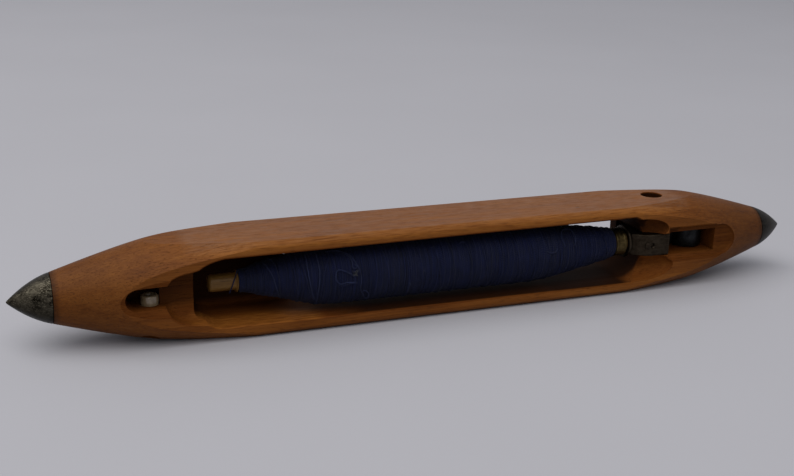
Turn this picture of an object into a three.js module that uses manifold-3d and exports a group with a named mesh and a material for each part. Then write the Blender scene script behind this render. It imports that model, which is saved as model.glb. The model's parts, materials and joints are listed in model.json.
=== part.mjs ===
// A power-loom shuttle lying on its front wall, with its mouth towards -Y and its far end towards +X.
// Millimetres, +Z up. The origin is under the middle of the body, on the face that it lies on.
import * as THREE from "three";
import { mergeVertices } from "three/addons/utils/BufferGeometryUtils.js";
import Module from "manifold-3d";

const wasm = await Module();
wasm.setup();

// Driving dimensions: the whole shuttle
const SHUTTLE_LENGTH = 420;
const BODY_WIDTH = 46.6; // across the walls, upright as it lies
const BODY_HEIGHT = 40; // from the mouth to the underside
const EDGE_BEVEL = 3.2; // rounding of the four long edges
const BEVEL_FULLNESS = 0.25; // 0 would reach the square corner
const MORTISE_OFFSET = 1.4; // the mortise lies this much nearer the back wall than the points do
const SEAT_GAP = 0.3; // between two pieces that lie against each other
const OVERRUN = 4; // how far a cutter runs on past the face that it opens
const TURN_SIDES = 48;
const SMALL_SIDES = 20;
const PIN_SIDES = 28;
const PIRN_SIDES = 32;

// Points and turned ends
const TIP_LENGTH = 19.5;
const TIP_RADIUS = 11.8;
const TIP_NOSE_SLOPE = 0.9;
const TIP_BLUNT = 0.35;
const TIP_SHANK_RADIUS = 4;
const TIP_SHANK_LENGTH = 16;
const TAPER_END = 62.5; // from the point's end to where the flat faces begin
const SHOULDER_LENGTH = 69; // over which the turned end runs out into the corners
const SHOULDER_START_PULL = 0.23; // shares of that length to the curve's two inner points
const SHOULDER_END_PULL = 0.9;
const FLAT_RUNOUT = 0.1; // how far the turned end has passed the flat faces where they begin
const CORNER_RUNOUT = 1; // and the corners
const TAPER_BULGE = { along: 47.3, radius: 20.3 };

// Mortise, its floor and its mouth, from the near point's end
const CHAMBER_START = 82;
const FLOOR_END = 131; // past here the mortise is open through the underside
const FLOOR_DEPTH = 32;
const MOUTH_UP = 15.6; // mouth's edge from the mortise's centre line, towards the back wall
const MOUTH_DOWN = 17.6; // and towards the front wall
const MOUTH_SPREAD = 1; // how much wider the mouth is at the tongue's end, each side
const MOUTH_NARROW = 12.2; // half width at the step near the eye
const MOUTH_NARROW_ROUND = 2; // corner of that narrow part
const MOUTH_STEP = 13; // length over which it widens to the full mouth
const CHAMBER_CORNER = 9; // rounding at the tongue's end, up and along
const CORNER_FULLNESS = 1; // how near that rounding's middle lies to the square corner
const FLOOR_ROUND = 12; // rounding of the through part at its near end
const THROAT_START = 68; // dished widening between the eye's channel and the chamber
const THROAT_DEPTH = 11;
const THROAT_LIFT = 1.5; // how far the dish's centre lies above the mouth's face
const THROAT_INSET = 1.8; // how far it stays inside the mouth on the back wall's side

// Eye slot and its thread groove
const EYE_SLOT_START = 49.5;
const EYE_SLOT_WIDTH = 10.6;
const EYE_SLOT_DEPTH = 20;
const EYE_CHANNEL_DEPTH = 9;
const EYE_RIM_UP = 2.4; // width of the sunk rim on the back wall's side
const EYE_RIM_DOWN = 4.6; // and on the front wall's side
const EYE_RIM_DEPTH = 1.2;
const EYE_POSITION = 62;
const EYE_RADIUS = 4.1;
const EYE_BORE_RADIUS = 1.5;
const EYE_DEPTH = 10; // from the mouth to the eye's own axis
const EYE_STAND = 4.6; // how far the eye stands up out of the slot's side
const EYE_LIP = 0.8;
const EYE_ROOM = 1.2; // pocket left past the eye
const EYE_FOOT = 5.2; // from the front wall's face to the eye's outer end
const THREAD_GROOVE_RADIUS = 2.2;
const THREAD_GROOVE_LENGTH = 70;
const THREAD_GROOVE_DEPTH = 1.45;

// Tongue, its pin and its slot, from the far point's end
const PIVOT_SETBACK = 85;
const TONGUE_SLOT_SETBACK = 55.5;
const RAMP_SETBACK = 43;
const CHAMBER_TO_PIVOT = 13; // from the chamber's end wall to the pivot
const PIVOT_DEPTH = 21.5;
const PIN_RADIUS = 3.9;
const PIN_RUNNING = 0.1; // radial clearance of the tongue on the pin
const PIN_INSET = 2.2; // from the back wall's face to the pin's end
const PIN_FRONT_WALL = 4; // wood left under the pin's far end
const TONGUE_WIDTH = 11.6;
const TONGUE_SIDE_PLAY = 0.4;
const TONGUE_TOP_DEPTH = 1.8;
const TONGUE_NECK_DEPTH = 7.2;
const TONGUE_LENGTH = 19.4; // the head, ahead of the pivot
const TONGUE_BACK = 0.6; // the head's rear face, behind the pivot
const HEEL_RADIUS = 7.2;
const HEAD_BOTTOM_DEPTH = 27;
const HEAD_CHIN = 9; // length of the rounding under the head's front end
const HEAD_SLOPE = 11; // length over which the head rises from the neck
const SOCKET_ROOM = 1; // how far the pin and socket cutters run on past the head
const DIMPLE_SETBACK = 9.5; // ahead of the pivot
const DIMPLE_RADIUS = 1.3;
const DIMPLE_DEPTH = 1.4;
const TONGUE_SLOT_DEPTH = 33.5;
const RAMP_WIDTH = 17;
const RAMP_DEPTH = 3.4;

// Dished finger scoops each side of the tongue's head, which also clear the pirn's butt as it swings
const SCOOP_LEAD = 18; // from the dish's centre to the pivot
const SCOOP_LENGTH_UP = 16.5; // from the dish's centre to its far end
const SCOOP_LENGTH_DOWN = 21;
const SCOOP_DEPTH = 9.4;
const SCOOP_LIFT = 2.5; // from the mouth out to the dish's own centre
const SCOOP_INSET = 2.6; // from the tongue's side to where the dish's near edge would be

// Spindle and pirn
const PIRN_DEPTH = 13.9; // from the mouth to the spindle's centre line
const SPINDLE_LENGTH = 128;
const SPINDLE_ROOT_RADIUS = 2.9;
const SPINDLE_TIP_RADIUS = 2;
const SPINDLE_SHANK = 9; // held in the head
const GRIP_LENGTH = 92;
const GRIP_WIDTH = 2.6;
const GRIP_THICKNESS = 0.6;
const GRIP_BOW = 0.5;
const GRIP_SETBACK = 10; // from the head to the grip spring
const GRIP_FLAT_DEPTH = 1.3;
const GRIP_FLAT_SPARE = 3; // flat left past each end of the grip spring
const SPINDLE_POINT = 2.5; // length of the spindle's own taper to its end
const RIVET_RADIUS = 0.75;
const RIVET_SETBACK = 5;
const RIVET_FIT = 0.1;
const RIVET_HEAD = 0.5;
const PIRN_TIP = 90; // the pirn's free end, from the near point's end
const PIRN_TIP_RADIUS = 3.95;
const PIRN_TIP_ROUND = 0.6;
const PIRN_BARREL_RADIUS = 5.6; // where the thread ends at the butt
const PIRN_COLLAR_RADIUS = 6;
const PIRN_COLLAR_WIDTH = 0.9;
const PIRN_BUTT_RADIUS = 7.6;
const PIRN_BORE_CLEARANCE = 0.9; // over the spindle's root, where the grip spring lies
const PIRN_BORE_TAPER = 0.8;
const PIRN_BORE_SPARE = 3.6; // bore left past the spindle's end
const FERRULE_LENGTH = 6.2;
const FERRULE_WALL = 0.7;
const BUTT_GROOVE_DEPTH = 1.4;
const BUTT_GROOVE_LENGTH = 2.4;
const BUTT_RING_RADIUS = 8.6;
const BUTT_RING_LENGTH = 1.6;

// Thread package
const YARN_START = 104;
const YARN_RADIUS = 13.3;
const YARN_NOSE_RADIUS = 7;
const YARN_BASE_RADIUS = 8.2;
const YARN_NOSE = 38; // length of the taper towards the pirn's tip
const YARN_BASE = 54; // length of the taper towards the butt
const YARN_TURNS = 23;
const TURN_STEPS = 24;
const TURN_THICKNESS = 1.8; // of the outer layer of turns
const TURN_GAP = 0.6; // clear width between neighbouring turns
const TURN_EDGE = 1.3; // sloping part of a turn's edge

// Tongue spring: a bow of strip steel that stands on the slot's floor
const SPRING_THICKNESS = 1.1;
const SPRING_WIDTH = 10.8;
const SPRING_BOW_RADIUS = 8.2;
const SPRING_BOW_DEPTH = 17;
const SPRING_CORNER = 3.5;
const SPRING_FOOT_LENGTH = 12;
const SPRING_CURL = 4;
const SCREW_SETBACK = 11; // from the slot's end
const SCREW_RADIUS = 1.7;
const SCREW_HEAD_RADIUS = 3.1;
const SCREW_HEAD_HEIGHT = 1.5;
const SCREW_LENGTH = 4.6; // in the wood
const SCREW_SLOT_WIDTH = 0.8;
const SCREW_SLOT_DEPTH = 0.45;

const HALF_LENGTH = SHUTTLE_LENGTH / 2;
const MID_Z = BODY_WIDTH / 2;
const MORTISE_Z = MID_Z + MORTISE_OFFSET;
const MOUTH_Y = -BODY_HEIGHT / 2;
const along = (distance) => distance - HALF_LENGTH; // from the near point's end to X
const deep = (depth) => MOUTH_Y + depth; // from the mouth's face to Y
const PIVOT_X = HALF_LENGTH - PIVOT_SETBACK;
const PIVOT_Y = deep(PIVOT_DEPTH);
const PIRN_Y = deep(PIRN_DEPTH);
const HEAD_FRONT = PIVOT_X - TONGUE_LENGTH;
const PIRN_BUTT_X = HEAD_FRONT - SEAT_GAP;
const FERRULE_X = PIRN_BUTT_X - BUTT_GROOVE_LENGTH - FERRULE_LENGTH;
const YARN_END = FERRULE_X - SEAT_GAP + HALF_LENGTH;
const GRIP_CENTRE = HEAD_FRONT - GRIP_SETBACK - GRIP_LENGTH / 2;
const GRIP_SEAT_Y = PIRN_Y + SPINDLE_ROOT_RADIUS - GRIP_FLAT_DEPTH;
const RIVET_X = GRIP_CENTRE + GRIP_LENGTH / 2 - RIVET_SETBACK;
const SLOT_END_X = HALF_LENGTH - TONGUE_SLOT_SETBACK;
const CHAMBER_END_X = PIVOT_X - CHAMBER_TO_PIVOT;
const SCREW_X = SLOT_END_X - SCREW_SETBACK;

// Solids
function solid(geometry) {
  const bare = geometry.index ? geometry.toNonIndexed() : geometry.clone();
  for (const name of Object.keys(bare.attributes)) {
    if (name !== "position") bare.deleteAttribute(name);
  }
  const merged = mergeVertices(bare, 1e-4);
  return new wasm.Manifold(
    new wasm.Mesh({
      numProp: 3,
      vertProperties: merged.attributes.position.array,
      triVerts: new Uint32Array(merged.index.array),
    }),
  );
}

function geometryOf(manifold) {
  const mesh = manifold.getMesh();
  const geometry = new THREE.BufferGeometry();
  geometry.setAttribute("position", new THREE.BufferAttribute(mesh.vertProperties, 3));
  geometry.setIndex(new THREE.BufferAttribute(mesh.triVerts, 1));
  const flat = geometry.toNonIndexed();
  flat.computeVertexNormals();
  return flat;
}

const cut = (blank, ...tools) => tools.reduce((rest, tool) => rest.subtract(tool), blank);
const join = (...pieces) => pieces.reduce((whole, piece) => whole.add(piece));

// A closed outline in X and Z, drawn as a Shape, sunk from one depth below the mouth to another.
function sink(shape, fromDepth, toDepth, curveSegments = 10) {
  const geometry = new THREE.ExtrudeGeometry(shape, {
    depth: toDepth - fromDepth,
    bevelEnabled: false,
    curveSegments,
  });
  geometry.rotateX(Math.PI / 2);
  geometry.translate(0, deep(toDepth), 0);
  return solid(geometry);
}

// A closed outline in X and Y, drawn as a Shape, raised from one height to another.
function raise(shape, fromZ, toZ, curveSegments = 10) {
  const options = { depth: toZ - fromZ, bevelEnabled: false, curveSegments };
  const geometry = new THREE.ExtrudeGeometry(shape, options);
  geometry.translate(0, 0, fromZ);
  return solid(geometry);
}

// A solid turned about a line along X. The profile is a list of [distance along X, radius], either way round.
function turned(profile, y, z, sides = TURN_SIDES) {
  const points = profile.map(([x, radius]) => new THREE.Vector2(radius, x));
  if (THREE.ShapeUtils.area(points) < 0) points.reverse();
  const geometry = new THREE.LatheGeometry(points, sides);
  geometry.rotateZ(-Math.PI / 2);
  geometry.translate(0, y, z);
  return solid(geometry);
}

function pinAlongZ(radius, x, y, fromZ, toZ, sides = SMALL_SIDES) {
  const geometry = new THREE.CylinderGeometry(radius, radius, toZ - fromZ, sides);
  geometry.rotateX(Math.PI / 2);
  geometry.translate(x, y, (fromZ + toZ) / 2);
  return solid(geometry);
}

function pinAlongY(radius, x, z, fromDepth, toDepth, sides = SMALL_SIDES) {
  const geometry = new THREE.CylinderGeometry(radius, radius, toDepth - fromDepth, sides);
  geometry.translate(x, deep((fromDepth + toDepth) / 2), z);
  return solid(geometry);
}

// Turned outline of a point, as [distance from its end, radius].
function noseProfile(length, steps) {
  const reach = length * 0.5;
  const curve = new THREE.QuadraticBezierCurve(
    new THREE.Vector2(0, TIP_BLUNT),
    new THREE.Vector2(reach, TIP_BLUNT + reach * TIP_NOSE_SLOPE),
    new THREE.Vector2(length, TIP_RADIUS),
  );
  return curve.getPoints(steps).map((p) => [p.x, p.y]);
}

function taperProfile(steps) {
  const flank = new THREE.Vector2(TAPER_END, BODY_WIDTH / 2 + FLAT_RUNOUT);
  const taper = new THREE.QuadraticBezierCurve(
    new THREE.Vector2(TIP_LENGTH, TIP_RADIUS),
    new THREE.Vector2(TAPER_BULGE.along, TAPER_BULGE.radius),
    flank,
  );
  const corner = Math.hypot(BODY_WIDTH / 2, BODY_HEIGHT / 2) + CORNER_RUNOUT;
  const onward = new THREE.Vector2(TAPER_END - TAPER_BULGE.along, flank.y - TAPER_BULGE.radius);
  const shoulder = new THREE.CubicBezierCurve(
    flank,
    flank.clone().add(onward.setLength(SHOULDER_LENGTH * SHOULDER_START_PULL)),
    new THREE.Vector2(TAPER_END + SHOULDER_LENGTH * SHOULDER_END_PULL, corner - 2 * CORNER_RUNOUT),
    new THREE.Vector2(TAPER_END + SHOULDER_LENGTH, corner),
  );
  return [...taper.getPoints(steps), ...shoulder.getPoints(10).slice(1)].map((p) => [p.x, p.y]);
}

// Plain block of the body: a bevelled bar whose two ends are turned down towards the points.
function bodyBlank() {
  const bar = new THREE.Shape();
  const w = BODY_WIDTH;
  const h = BODY_HEIGHT / 2;
  const b = EDGE_BEVEL;
  const full = EDGE_BEVEL * BEVEL_FULLNESS;
  bar.moveTo(-h + b, 0);
  bar.lineTo(h - b, 0);
  bar.quadraticCurveTo(h - full, full, h, b);
  bar.lineTo(h, w - b);
  bar.quadraticCurveTo(h - full, w - full, h - b, w);
  bar.lineTo(-h + b, w);
  bar.quadraticCurveTo(-h + full, w - full, -h, w - b);
  bar.lineTo(-h, b);
  bar.quadraticCurveTo(-h + full, full, -h + b, 0);
  const options = { depth: SHUTTLE_LENGTH, bevelEnabled: false, curveSegments: 3 };
  const geometry = new THREE.ExtrudeGeometry(bar, options);
  geometry.rotateX(Math.PI / 2);
  geometry.rotateZ(Math.PI / 2);
  geometry.translate(-HALF_LENGTH, 0, 0);
  const side = taperProfile(9);
  const profile = [
    [along(TIP_LENGTH), 0],
    ...side.map(([d, r]) => [along(d), r]),
    ...side.map(([d, r]) => [-along(d), r]).reverse(),
    [-along(TIP_LENGTH), 0],
  ];
  return solid(geometry).intersect(turned(profile, 0, MID_Z));
}

// The chamber's rounded corners at the tongue's end, drawn from the front wall's side to the back wall's.
function chamberEnd(s) {
  const endX = CHAMBER_END_X;
  const up = MORTISE_Z + MOUTH_UP;
  const down = MORTISE_Z - MOUTH_DOWN;
  const cornerX = endX - CORNER_FULLNESS;
  const fullness = 2 * CORNER_FULLNESS;
  s.lineTo(endX - CHAMBER_CORNER, down - MOUTH_SPREAD);
  s.quadraticCurveTo(cornerX, down + fullness, endX, down + CHAMBER_CORNER);
  s.lineTo(endX, up - CHAMBER_CORNER);
  s.quadraticCurveTo(cornerX, up - fullness, endX - CHAMBER_CORNER, up + MOUTH_SPREAD);
}

// The mouth's outline: a step near the eye, long edges that spread a little, rounded far corners.
function mouthShape() {
  const startX = along(CHAMBER_START);
  const wideX = startX + MOUTH_STEP;
  const roundX = startX + 2 * MOUTH_NARROW_ROUND;
  const narrow = MOUTH_NARROW - MOUTH_NARROW_ROUND;
  const bulge = MOUTH_NARROW + MOUTH_NARROW_ROUND;
  const up = MORTISE_Z + MOUTH_UP;
  const down = MORTISE_Z - MOUTH_DOWN;
  const s = new THREE.Shape();
  s.moveTo(startX, MORTISE_Z + narrow);
  s.lineTo(startX, MORTISE_Z - narrow);
  s.quadraticCurveTo(startX, MORTISE_Z - bulge, roundX, MORTISE_Z - bulge);
  s.quadraticCurveTo((roundX + wideX) / 2, down, wideX, down);
  chamberEnd(s);
  s.lineTo(wideX, up);
  s.quadraticCurveTo(roundX, MORTISE_Z + bulge, startX, MORTISE_Z + narrow);
  return s;
}

// The mortise where it is open through the underside, past the floor at its near end.
function throughShape() {
  const startX = along(FLOOR_END);
  const roundX = startX + FLOOR_ROUND;
  const s = new THREE.Shape();
  s.moveTo(startX, MORTISE_Z);
  s.quadraticCurveTo(startX, MORTISE_Z - MOUTH_DOWN, roundX, MORTISE_Z - MOUTH_DOWN);
  chamberEnd(s);
  s.lineTo(roundX, MORTISE_Z + MOUTH_UP);
  s.quadraticCurveTo(startX, MORTISE_Z + MOUTH_UP, startX, MORTISE_Z);
  return s;
}

// A slot with a round end, as a Shape: from its round end at startX to a square end at endX.
function slotShape(startX, endX, width, roundEnd) {
  const r = width / 2;
  const s = new THREE.Shape();
  if (roundEnd === "start") {
    s.moveTo(startX + r, MORTISE_Z + r);
    s.absarc(startX + r, MORTISE_Z, r, Math.PI / 2, -Math.PI / 2, false);
    s.lineTo(endX, MORTISE_Z - r);
    s.lineTo(endX, MORTISE_Z + r);
  } else {
    s.moveTo(startX, MORTISE_Z + r);
    s.lineTo(startX, MORTISE_Z - r);
    s.lineTo(endX - r, MORTISE_Z - r);
    s.absarc(endX - r, MORTISE_Z, r, -Math.PI / 2, Math.PI / 2, false);
  }
  s.closePath();
  return s;
}

// A hollow with the form of an ellipsoid, sunk a little less than halfway into the mouth's face.
function dish(x, z, reachX, reachZ, depth, lift) {
  const radius = depth + lift;
  const atMouth = Math.sqrt(1 - (lift / radius) ** 2); // share of the dish's radii left at the mouth
  const ball = new THREE.SphereGeometry(1, 36, 20);
  ball.rotateX(Math.PI / 2);
  ball.scale(reachX / atMouth, radius, reachZ / atMouth);
  ball.translate(x, deep(-lift), z);
  return solid(ball);
}

// One finger scoop beside the tongue's head; side is +1 towards the back wall and -1 towards the front.
function scoopCut(side) {
  const edge = side > 0 ? MOUTH_UP : MOUTH_DOWN + MOUTH_SPREAD;
  const nearEdge = TONGUE_WIDTH / 2 - SCOOP_INSET;
  const reach = side > 0 ? SCOOP_LENGTH_UP : SCOOP_LENGTH_DOWN;
  const z = MORTISE_Z + (side * (edge + nearEdge)) / 2;
  return dish(PIVOT_X - SCOOP_LEAD, z, reach, (edge - nearEdge) / 2, SCOOP_DEPTH, SCOOP_LIFT);
}

// The wood around the eye: a deep pocket for the eye, a shallow channel to the mouth, and a sunk rim.
function eyeCuts() {
  const start = along(EYE_SLOT_START);
  const end = along(CHAMBER_START) + OVERRUN;
  const pocketEnd = along(EYE_POSITION) + EYE_RADIUS + EYE_ROOM;
  const rimWidth = EYE_SLOT_WIDTH + EYE_RIM_UP + EYE_RIM_DOWN;
  const pocket = slotShape(start, pocketEnd, EYE_SLOT_WIDTH, "start");
  const channel = slotShape(start, end, EYE_SLOT_WIDTH, "start");
  const rim = slotShape(start - EYE_RIM_UP, end, rimWidth, "start");
  return [
    sink(pocket, -OVERRUN, EYE_SLOT_DEPTH),
    sink(channel, -OVERRUN, EYE_CHANNEL_DEPTH),
    sink(rim, -OVERRUN, EYE_RIM_DEPTH).translate([0, 0, (EYE_RIM_UP - EYE_RIM_DOWN) / 2]),
  ];
}

// A dished widening of the mouth between the eye's channel and the chamber.
function throatCut() {
  const middle = along(CHAMBER_START) + OVERRUN;
  const reach = CHAMBER_START + OVERRUN - THROAT_START;
  const down = MOUTH_NARROW + MOUTH_NARROW_ROUND;
  const up = MOUTH_NARROW - THROAT_INSET;
  return dish(middle, MORTISE_Z + (up - down) / 2, reach, (up + down) / 2, THROAT_DEPTH, THROAT_LIFT);
}

// Bore of the eye through the front wall, and the thread's groove along that wall outside.
function eyeSeatCuts() {
  const x = along(EYE_POSITION);
  const y = deep(EYE_DEPTH);
  const bore = pinAlongZ(EYE_RADIUS + SEAT_GAP, x, y, -OVERRUN, MORTISE_Z);
  const groove = new THREE.CapsuleGeometry(THREAD_GROOVE_RADIUS, THREAD_GROOVE_LENGTH, 5, 12);
  groove.rotateZ(Math.PI / 2);
  groove.translate(x + THREAD_GROOVE_LENGTH / 2 + EYE_RADIUS, y, THREAD_GROOVE_DEPTH - THREAD_GROOVE_RADIUS);
  return [bore, solid(groove)];
}

function tongueSlotCuts() {
  const start = CHAMBER_END_X - OVERRUN;
  const end = SLOT_END_X;
  const width = TONGUE_WIDTH + 2 * TONGUE_SIDE_PLAY;
  const slot = new THREE.Shape();
  slot.moveTo(start, MORTISE_Z - width / 2);
  slot.lineTo(end, MORTISE_Z - width / 2);
  slot.lineTo(end, MORTISE_Z + width / 2);
  slot.lineTo(start, MORTISE_Z + width / 2);
  slot.closePath();
  const ramp = slotShape(PIVOT_X, HALF_LENGTH - RAMP_SETBACK, RAMP_WIDTH, "end");
  const screwHole = SCREW_RADIUS + SEAT_GAP;
  const screwHoleEnd = screwEnd() + SEAT_GAP;
  return [
    sink(slot, -OVERRUN, TONGUE_SLOT_DEPTH),
    sink(ramp, -OVERRUN, RAMP_DEPTH),
    pinAlongZ(PIN_RADIUS + SEAT_GAP, PIVOT_X, PIVOT_Y, PIN_FRONT_WALL, BODY_WIDTH + OVERRUN),
    pinAlongY(screwHole, SCREW_X, MORTISE_Z, TONGUE_SLOT_DEPTH - OVERRUN, screwHoleEnd),
  ];
}

const screwEnd = () => TONGUE_SLOT_DEPTH + SCREW_LENGTH;

// Turns a profile measured from a point's end into one along X, at the near end (-1) or the far end (+1).
const fromEnd = (side, profile) => profile.map(([d, r]) => [-side * along(d), r]);

function tipBore(side) {
  const radius = TIP_SHANK_RADIUS + SEAT_GAP;
  const seat = TIP_LENGTH + TIP_SHANK_LENGTH + SEAT_GAP;
  const profile = [
    [TIP_LENGTH - 1, 0],
    [TIP_LENGTH - 1, radius],
    [seat, radius],
    [seat, 0],
  ];
  return turned(fromEnd(side, profile), 0, MID_Z, SMALL_SIDES);
}

function shuttleBody() {
  return cut(
    bodyBlank(),
    sink(mouthShape(), -OVERRUN, FLOOR_DEPTH),
    sink(throughShape(), FLOOR_DEPTH - OVERRUN, BODY_HEIGHT + OVERRUN),
    scoopCut(1),
    scoopCut(-1),
    throatCut(),
    ...eyeCuts(),
    ...eyeSeatCuts(),
    ...tongueSlotCuts(),
    tipBore(1),
    tipBore(-1),
  );
}

// Steel point with its shank, which seats in the body's end
function tip(side) {
  const base = TIP_LENGTH - SEAT_GAP;
  const shankEnd = TIP_LENGTH + TIP_SHANK_LENGTH;
  const profile = [
    [0, 0],
    ...noseProfile(base, 9),
    [base, TIP_SHANK_RADIUS],
    [shankEnd - 1, TIP_SHANK_RADIUS],
    [shankEnd, TIP_SHANK_RADIUS - 1],
    [shankEnd, 0],
  ];
  return turned(fromEnd(side, profile), 0, MID_Z);
}

// Porcelain eye: a short tube with rounded lips, standing in the front wall
function eyeTube() {
  const x = along(EYE_POSITION);
  const y = deep(EYE_DEPTH);
  const top = MORTISE_Z - EYE_SLOT_WIDTH / 2 + EYE_STAND;
  const bottom = EYE_FOOT;
  const points = [
    [EYE_BORE_RADIUS, bottom + EYE_LIP],
    [EYE_BORE_RADIUS + EYE_LIP, bottom],
    [EYE_RADIUS - EYE_LIP * 0.4, bottom],
    [EYE_RADIUS, bottom + EYE_LIP],
    [EYE_RADIUS, top - EYE_LIP],
    [EYE_RADIUS - EYE_LIP * 0.4, top - EYE_LIP * 0.3],
    [EYE_RADIUS - EYE_LIP, top],
    [EYE_BORE_RADIUS + EYE_LIP, top],
    [EYE_BORE_RADIUS, top - EYE_LIP],
    [EYE_BORE_RADIUS, bottom + EYE_LIP],
  ].map(([r, z]) => new THREE.Vector2(r, z));
  const geometry = new THREE.LatheGeometry(points, PIN_SIDES);
  geometry.rotateX(Math.PI / 2);
  geometry.translate(x, y, 0);
  return solid(geometry);
}

function pivotPin() {
  const foot = PIN_FRONT_WALL + SEAT_GAP;
  return pinAlongZ(PIN_RADIUS, PIVOT_X, PIVOT_Y, foot, BODY_WIDTH - PIN_INSET, PIN_SIDES);
}

// Head of the tongue: a tall block that narrows to the spindle's neck, on a round heel about the pin
function tongueHead() {
  const back = PIVOT_X + TONGUE_BACK;
  const half = TONGUE_WIDTH / 2;
  const s = new THREE.Shape();
  const bottom = deep(HEAD_BOTTOM_DEPTH);
  const neck = deep(TONGUE_NECK_DEPTH);
  const top = deep(TONGUE_TOP_DEPTH);
  const heelEnd = Math.asin(TONGUE_BACK / HEEL_RADIUS) - Math.PI / 2;
  s.moveTo(HEAD_FRONT, neck);
  s.lineTo(HEAD_FRONT, bottom - HEAD_CHIN / 2);
  s.quadraticCurveTo(HEAD_FRONT + HEAD_CHIN / 2, bottom, HEAD_FRONT + HEAD_CHIN, bottom);
  s.lineTo(PIVOT_X, PIVOT_Y + HEEL_RADIUS);
  s.absarc(PIVOT_X, PIVOT_Y, HEEL_RADIUS, Math.PI / 2, heelEnd, true);
  s.lineTo(back, top);
  s.lineTo(HEAD_FRONT + HEAD_SLOPE, top);
  s.quadraticCurveTo(HEAD_FRONT + HEAD_SLOPE / 2, top, HEAD_FRONT, neck);
  const low = MORTISE_Z - half;
  const high = MORTISE_Z + half;
  const block = raise(s, low, high, 7);
  const pinRadius = PIN_RADIUS + PIN_RUNNING;
  const pinHole = pinAlongZ(pinRadius, PIVOT_X, PIVOT_Y, low - SOCKET_ROOM, high + SOCKET_ROOM, PIN_SIDES);
  const socketEnd = HEAD_FRONT + SPINDLE_SHANK + SEAT_GAP;
  const socketRadius = SPINDLE_ROOT_RADIUS + SEAT_GAP;
  const socketProfile = [
    [HEAD_FRONT - SOCKET_ROOM, 0],
    [HEAD_FRONT - SOCKET_ROOM, socketRadius],
    [socketEnd, socketRadius],
    [socketEnd, 0],
  ];
  const socket = turned(socketProfile, PIRN_Y, MORTISE_Z, SMALL_SIDES);
  const dimpleX = PIVOT_X - DIMPLE_SETBACK;
  const dimpleEnd = TONGUE_TOP_DEPTH + DIMPLE_DEPTH;
  const dimple = pinAlongY(DIMPLE_RADIUS, dimpleX, MORTISE_Z, TONGUE_TOP_DEPTH - SOCKET_ROOM, dimpleEnd);
  return cut(block, pinHole, socket, dimple);
}

// Tapered spindle with a flat underneath for its grip spring
function spindle() {
  const end = HEAD_FRONT - SPINDLE_LENGTH;
  const profile = [
    [end, 0],
    [end, SPINDLE_TIP_RADIUS / 2],
    [end + SPINDLE_POINT, SPINDLE_TIP_RADIUS],
    [HEAD_FRONT, SPINDLE_ROOT_RADIUS],
    [HEAD_FRONT + SPINDLE_SHANK, SPINDLE_ROOT_RADIUS],
    [HEAD_FRONT + SPINDLE_SHANK, 0],
  ];
  const reach = 2 * SPINDLE_ROOT_RADIUS;
  const flat = new THREE.BoxGeometry(GRIP_LENGTH + 2 * GRIP_FLAT_SPARE, reach, 2 * reach);
  flat.translate(GRIP_CENTRE, GRIP_SEAT_Y + reach / 2, MORTISE_Z);
  return cut(turned(profile, PIRN_Y, MORTISE_Z, SMALL_SIDES), solid(flat), rivetHole());
}

function rivetHole() {
  const reach = 2 * SPINDLE_ROOT_RADIUS;
  return pinAlongY(RIVET_RADIUS + RIVET_FIT, RIVET_X, MORTISE_Z, PIRN_DEPTH - reach, PIRN_DEPTH + reach);
}

// Bowed strip that grips the inside of the pirn
function gripSpring() {
  const left = GRIP_CENTRE - GRIP_LENGTH / 2;
  const right = GRIP_CENTRE + GRIP_LENGTH / 2;
  const flatEnd = right - 2 * RIVET_SETBACK;
  const y = GRIP_SEAT_Y + SEAT_GAP;
  const crown = y + 2 * GRIP_BOW;
  const s = new THREE.Shape();
  s.moveTo(right, y);
  s.lineTo(flatEnd, y);
  s.quadraticCurveTo(GRIP_CENTRE, crown, left, y);
  s.lineTo(left, y + GRIP_THICKNESS);
  s.quadraticCurveTo(GRIP_CENTRE, crown + GRIP_THICKNESS, flatEnd, y + GRIP_THICKNESS);
  s.lineTo(right, y + GRIP_THICKNESS);
  s.closePath();
  return raise(s, MORTISE_Z - GRIP_WIDTH / 2, MORTISE_Z + GRIP_WIDTH / 2, 9).subtract(rivetHole());
}

function gripRivet() {
  const head = GRIP_SEAT_Y + SEAT_GAP + GRIP_THICKNESS + RIVET_FIT - MOUTH_Y;
  const headEnd = head + RIVET_HEAD;
  const tail = PIRN_DEPTH - SPINDLE_TIP_RADIUS;
  const shank = pinAlongY(RIVET_RADIUS, RIVET_X, MORTISE_Z, tail, headEnd - RIVET_FIT);
  return join(shank, pinAlongY(1.6 * RIVET_RADIUS, RIVET_X, MORTISE_Z, head, headEnd));
}

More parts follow.
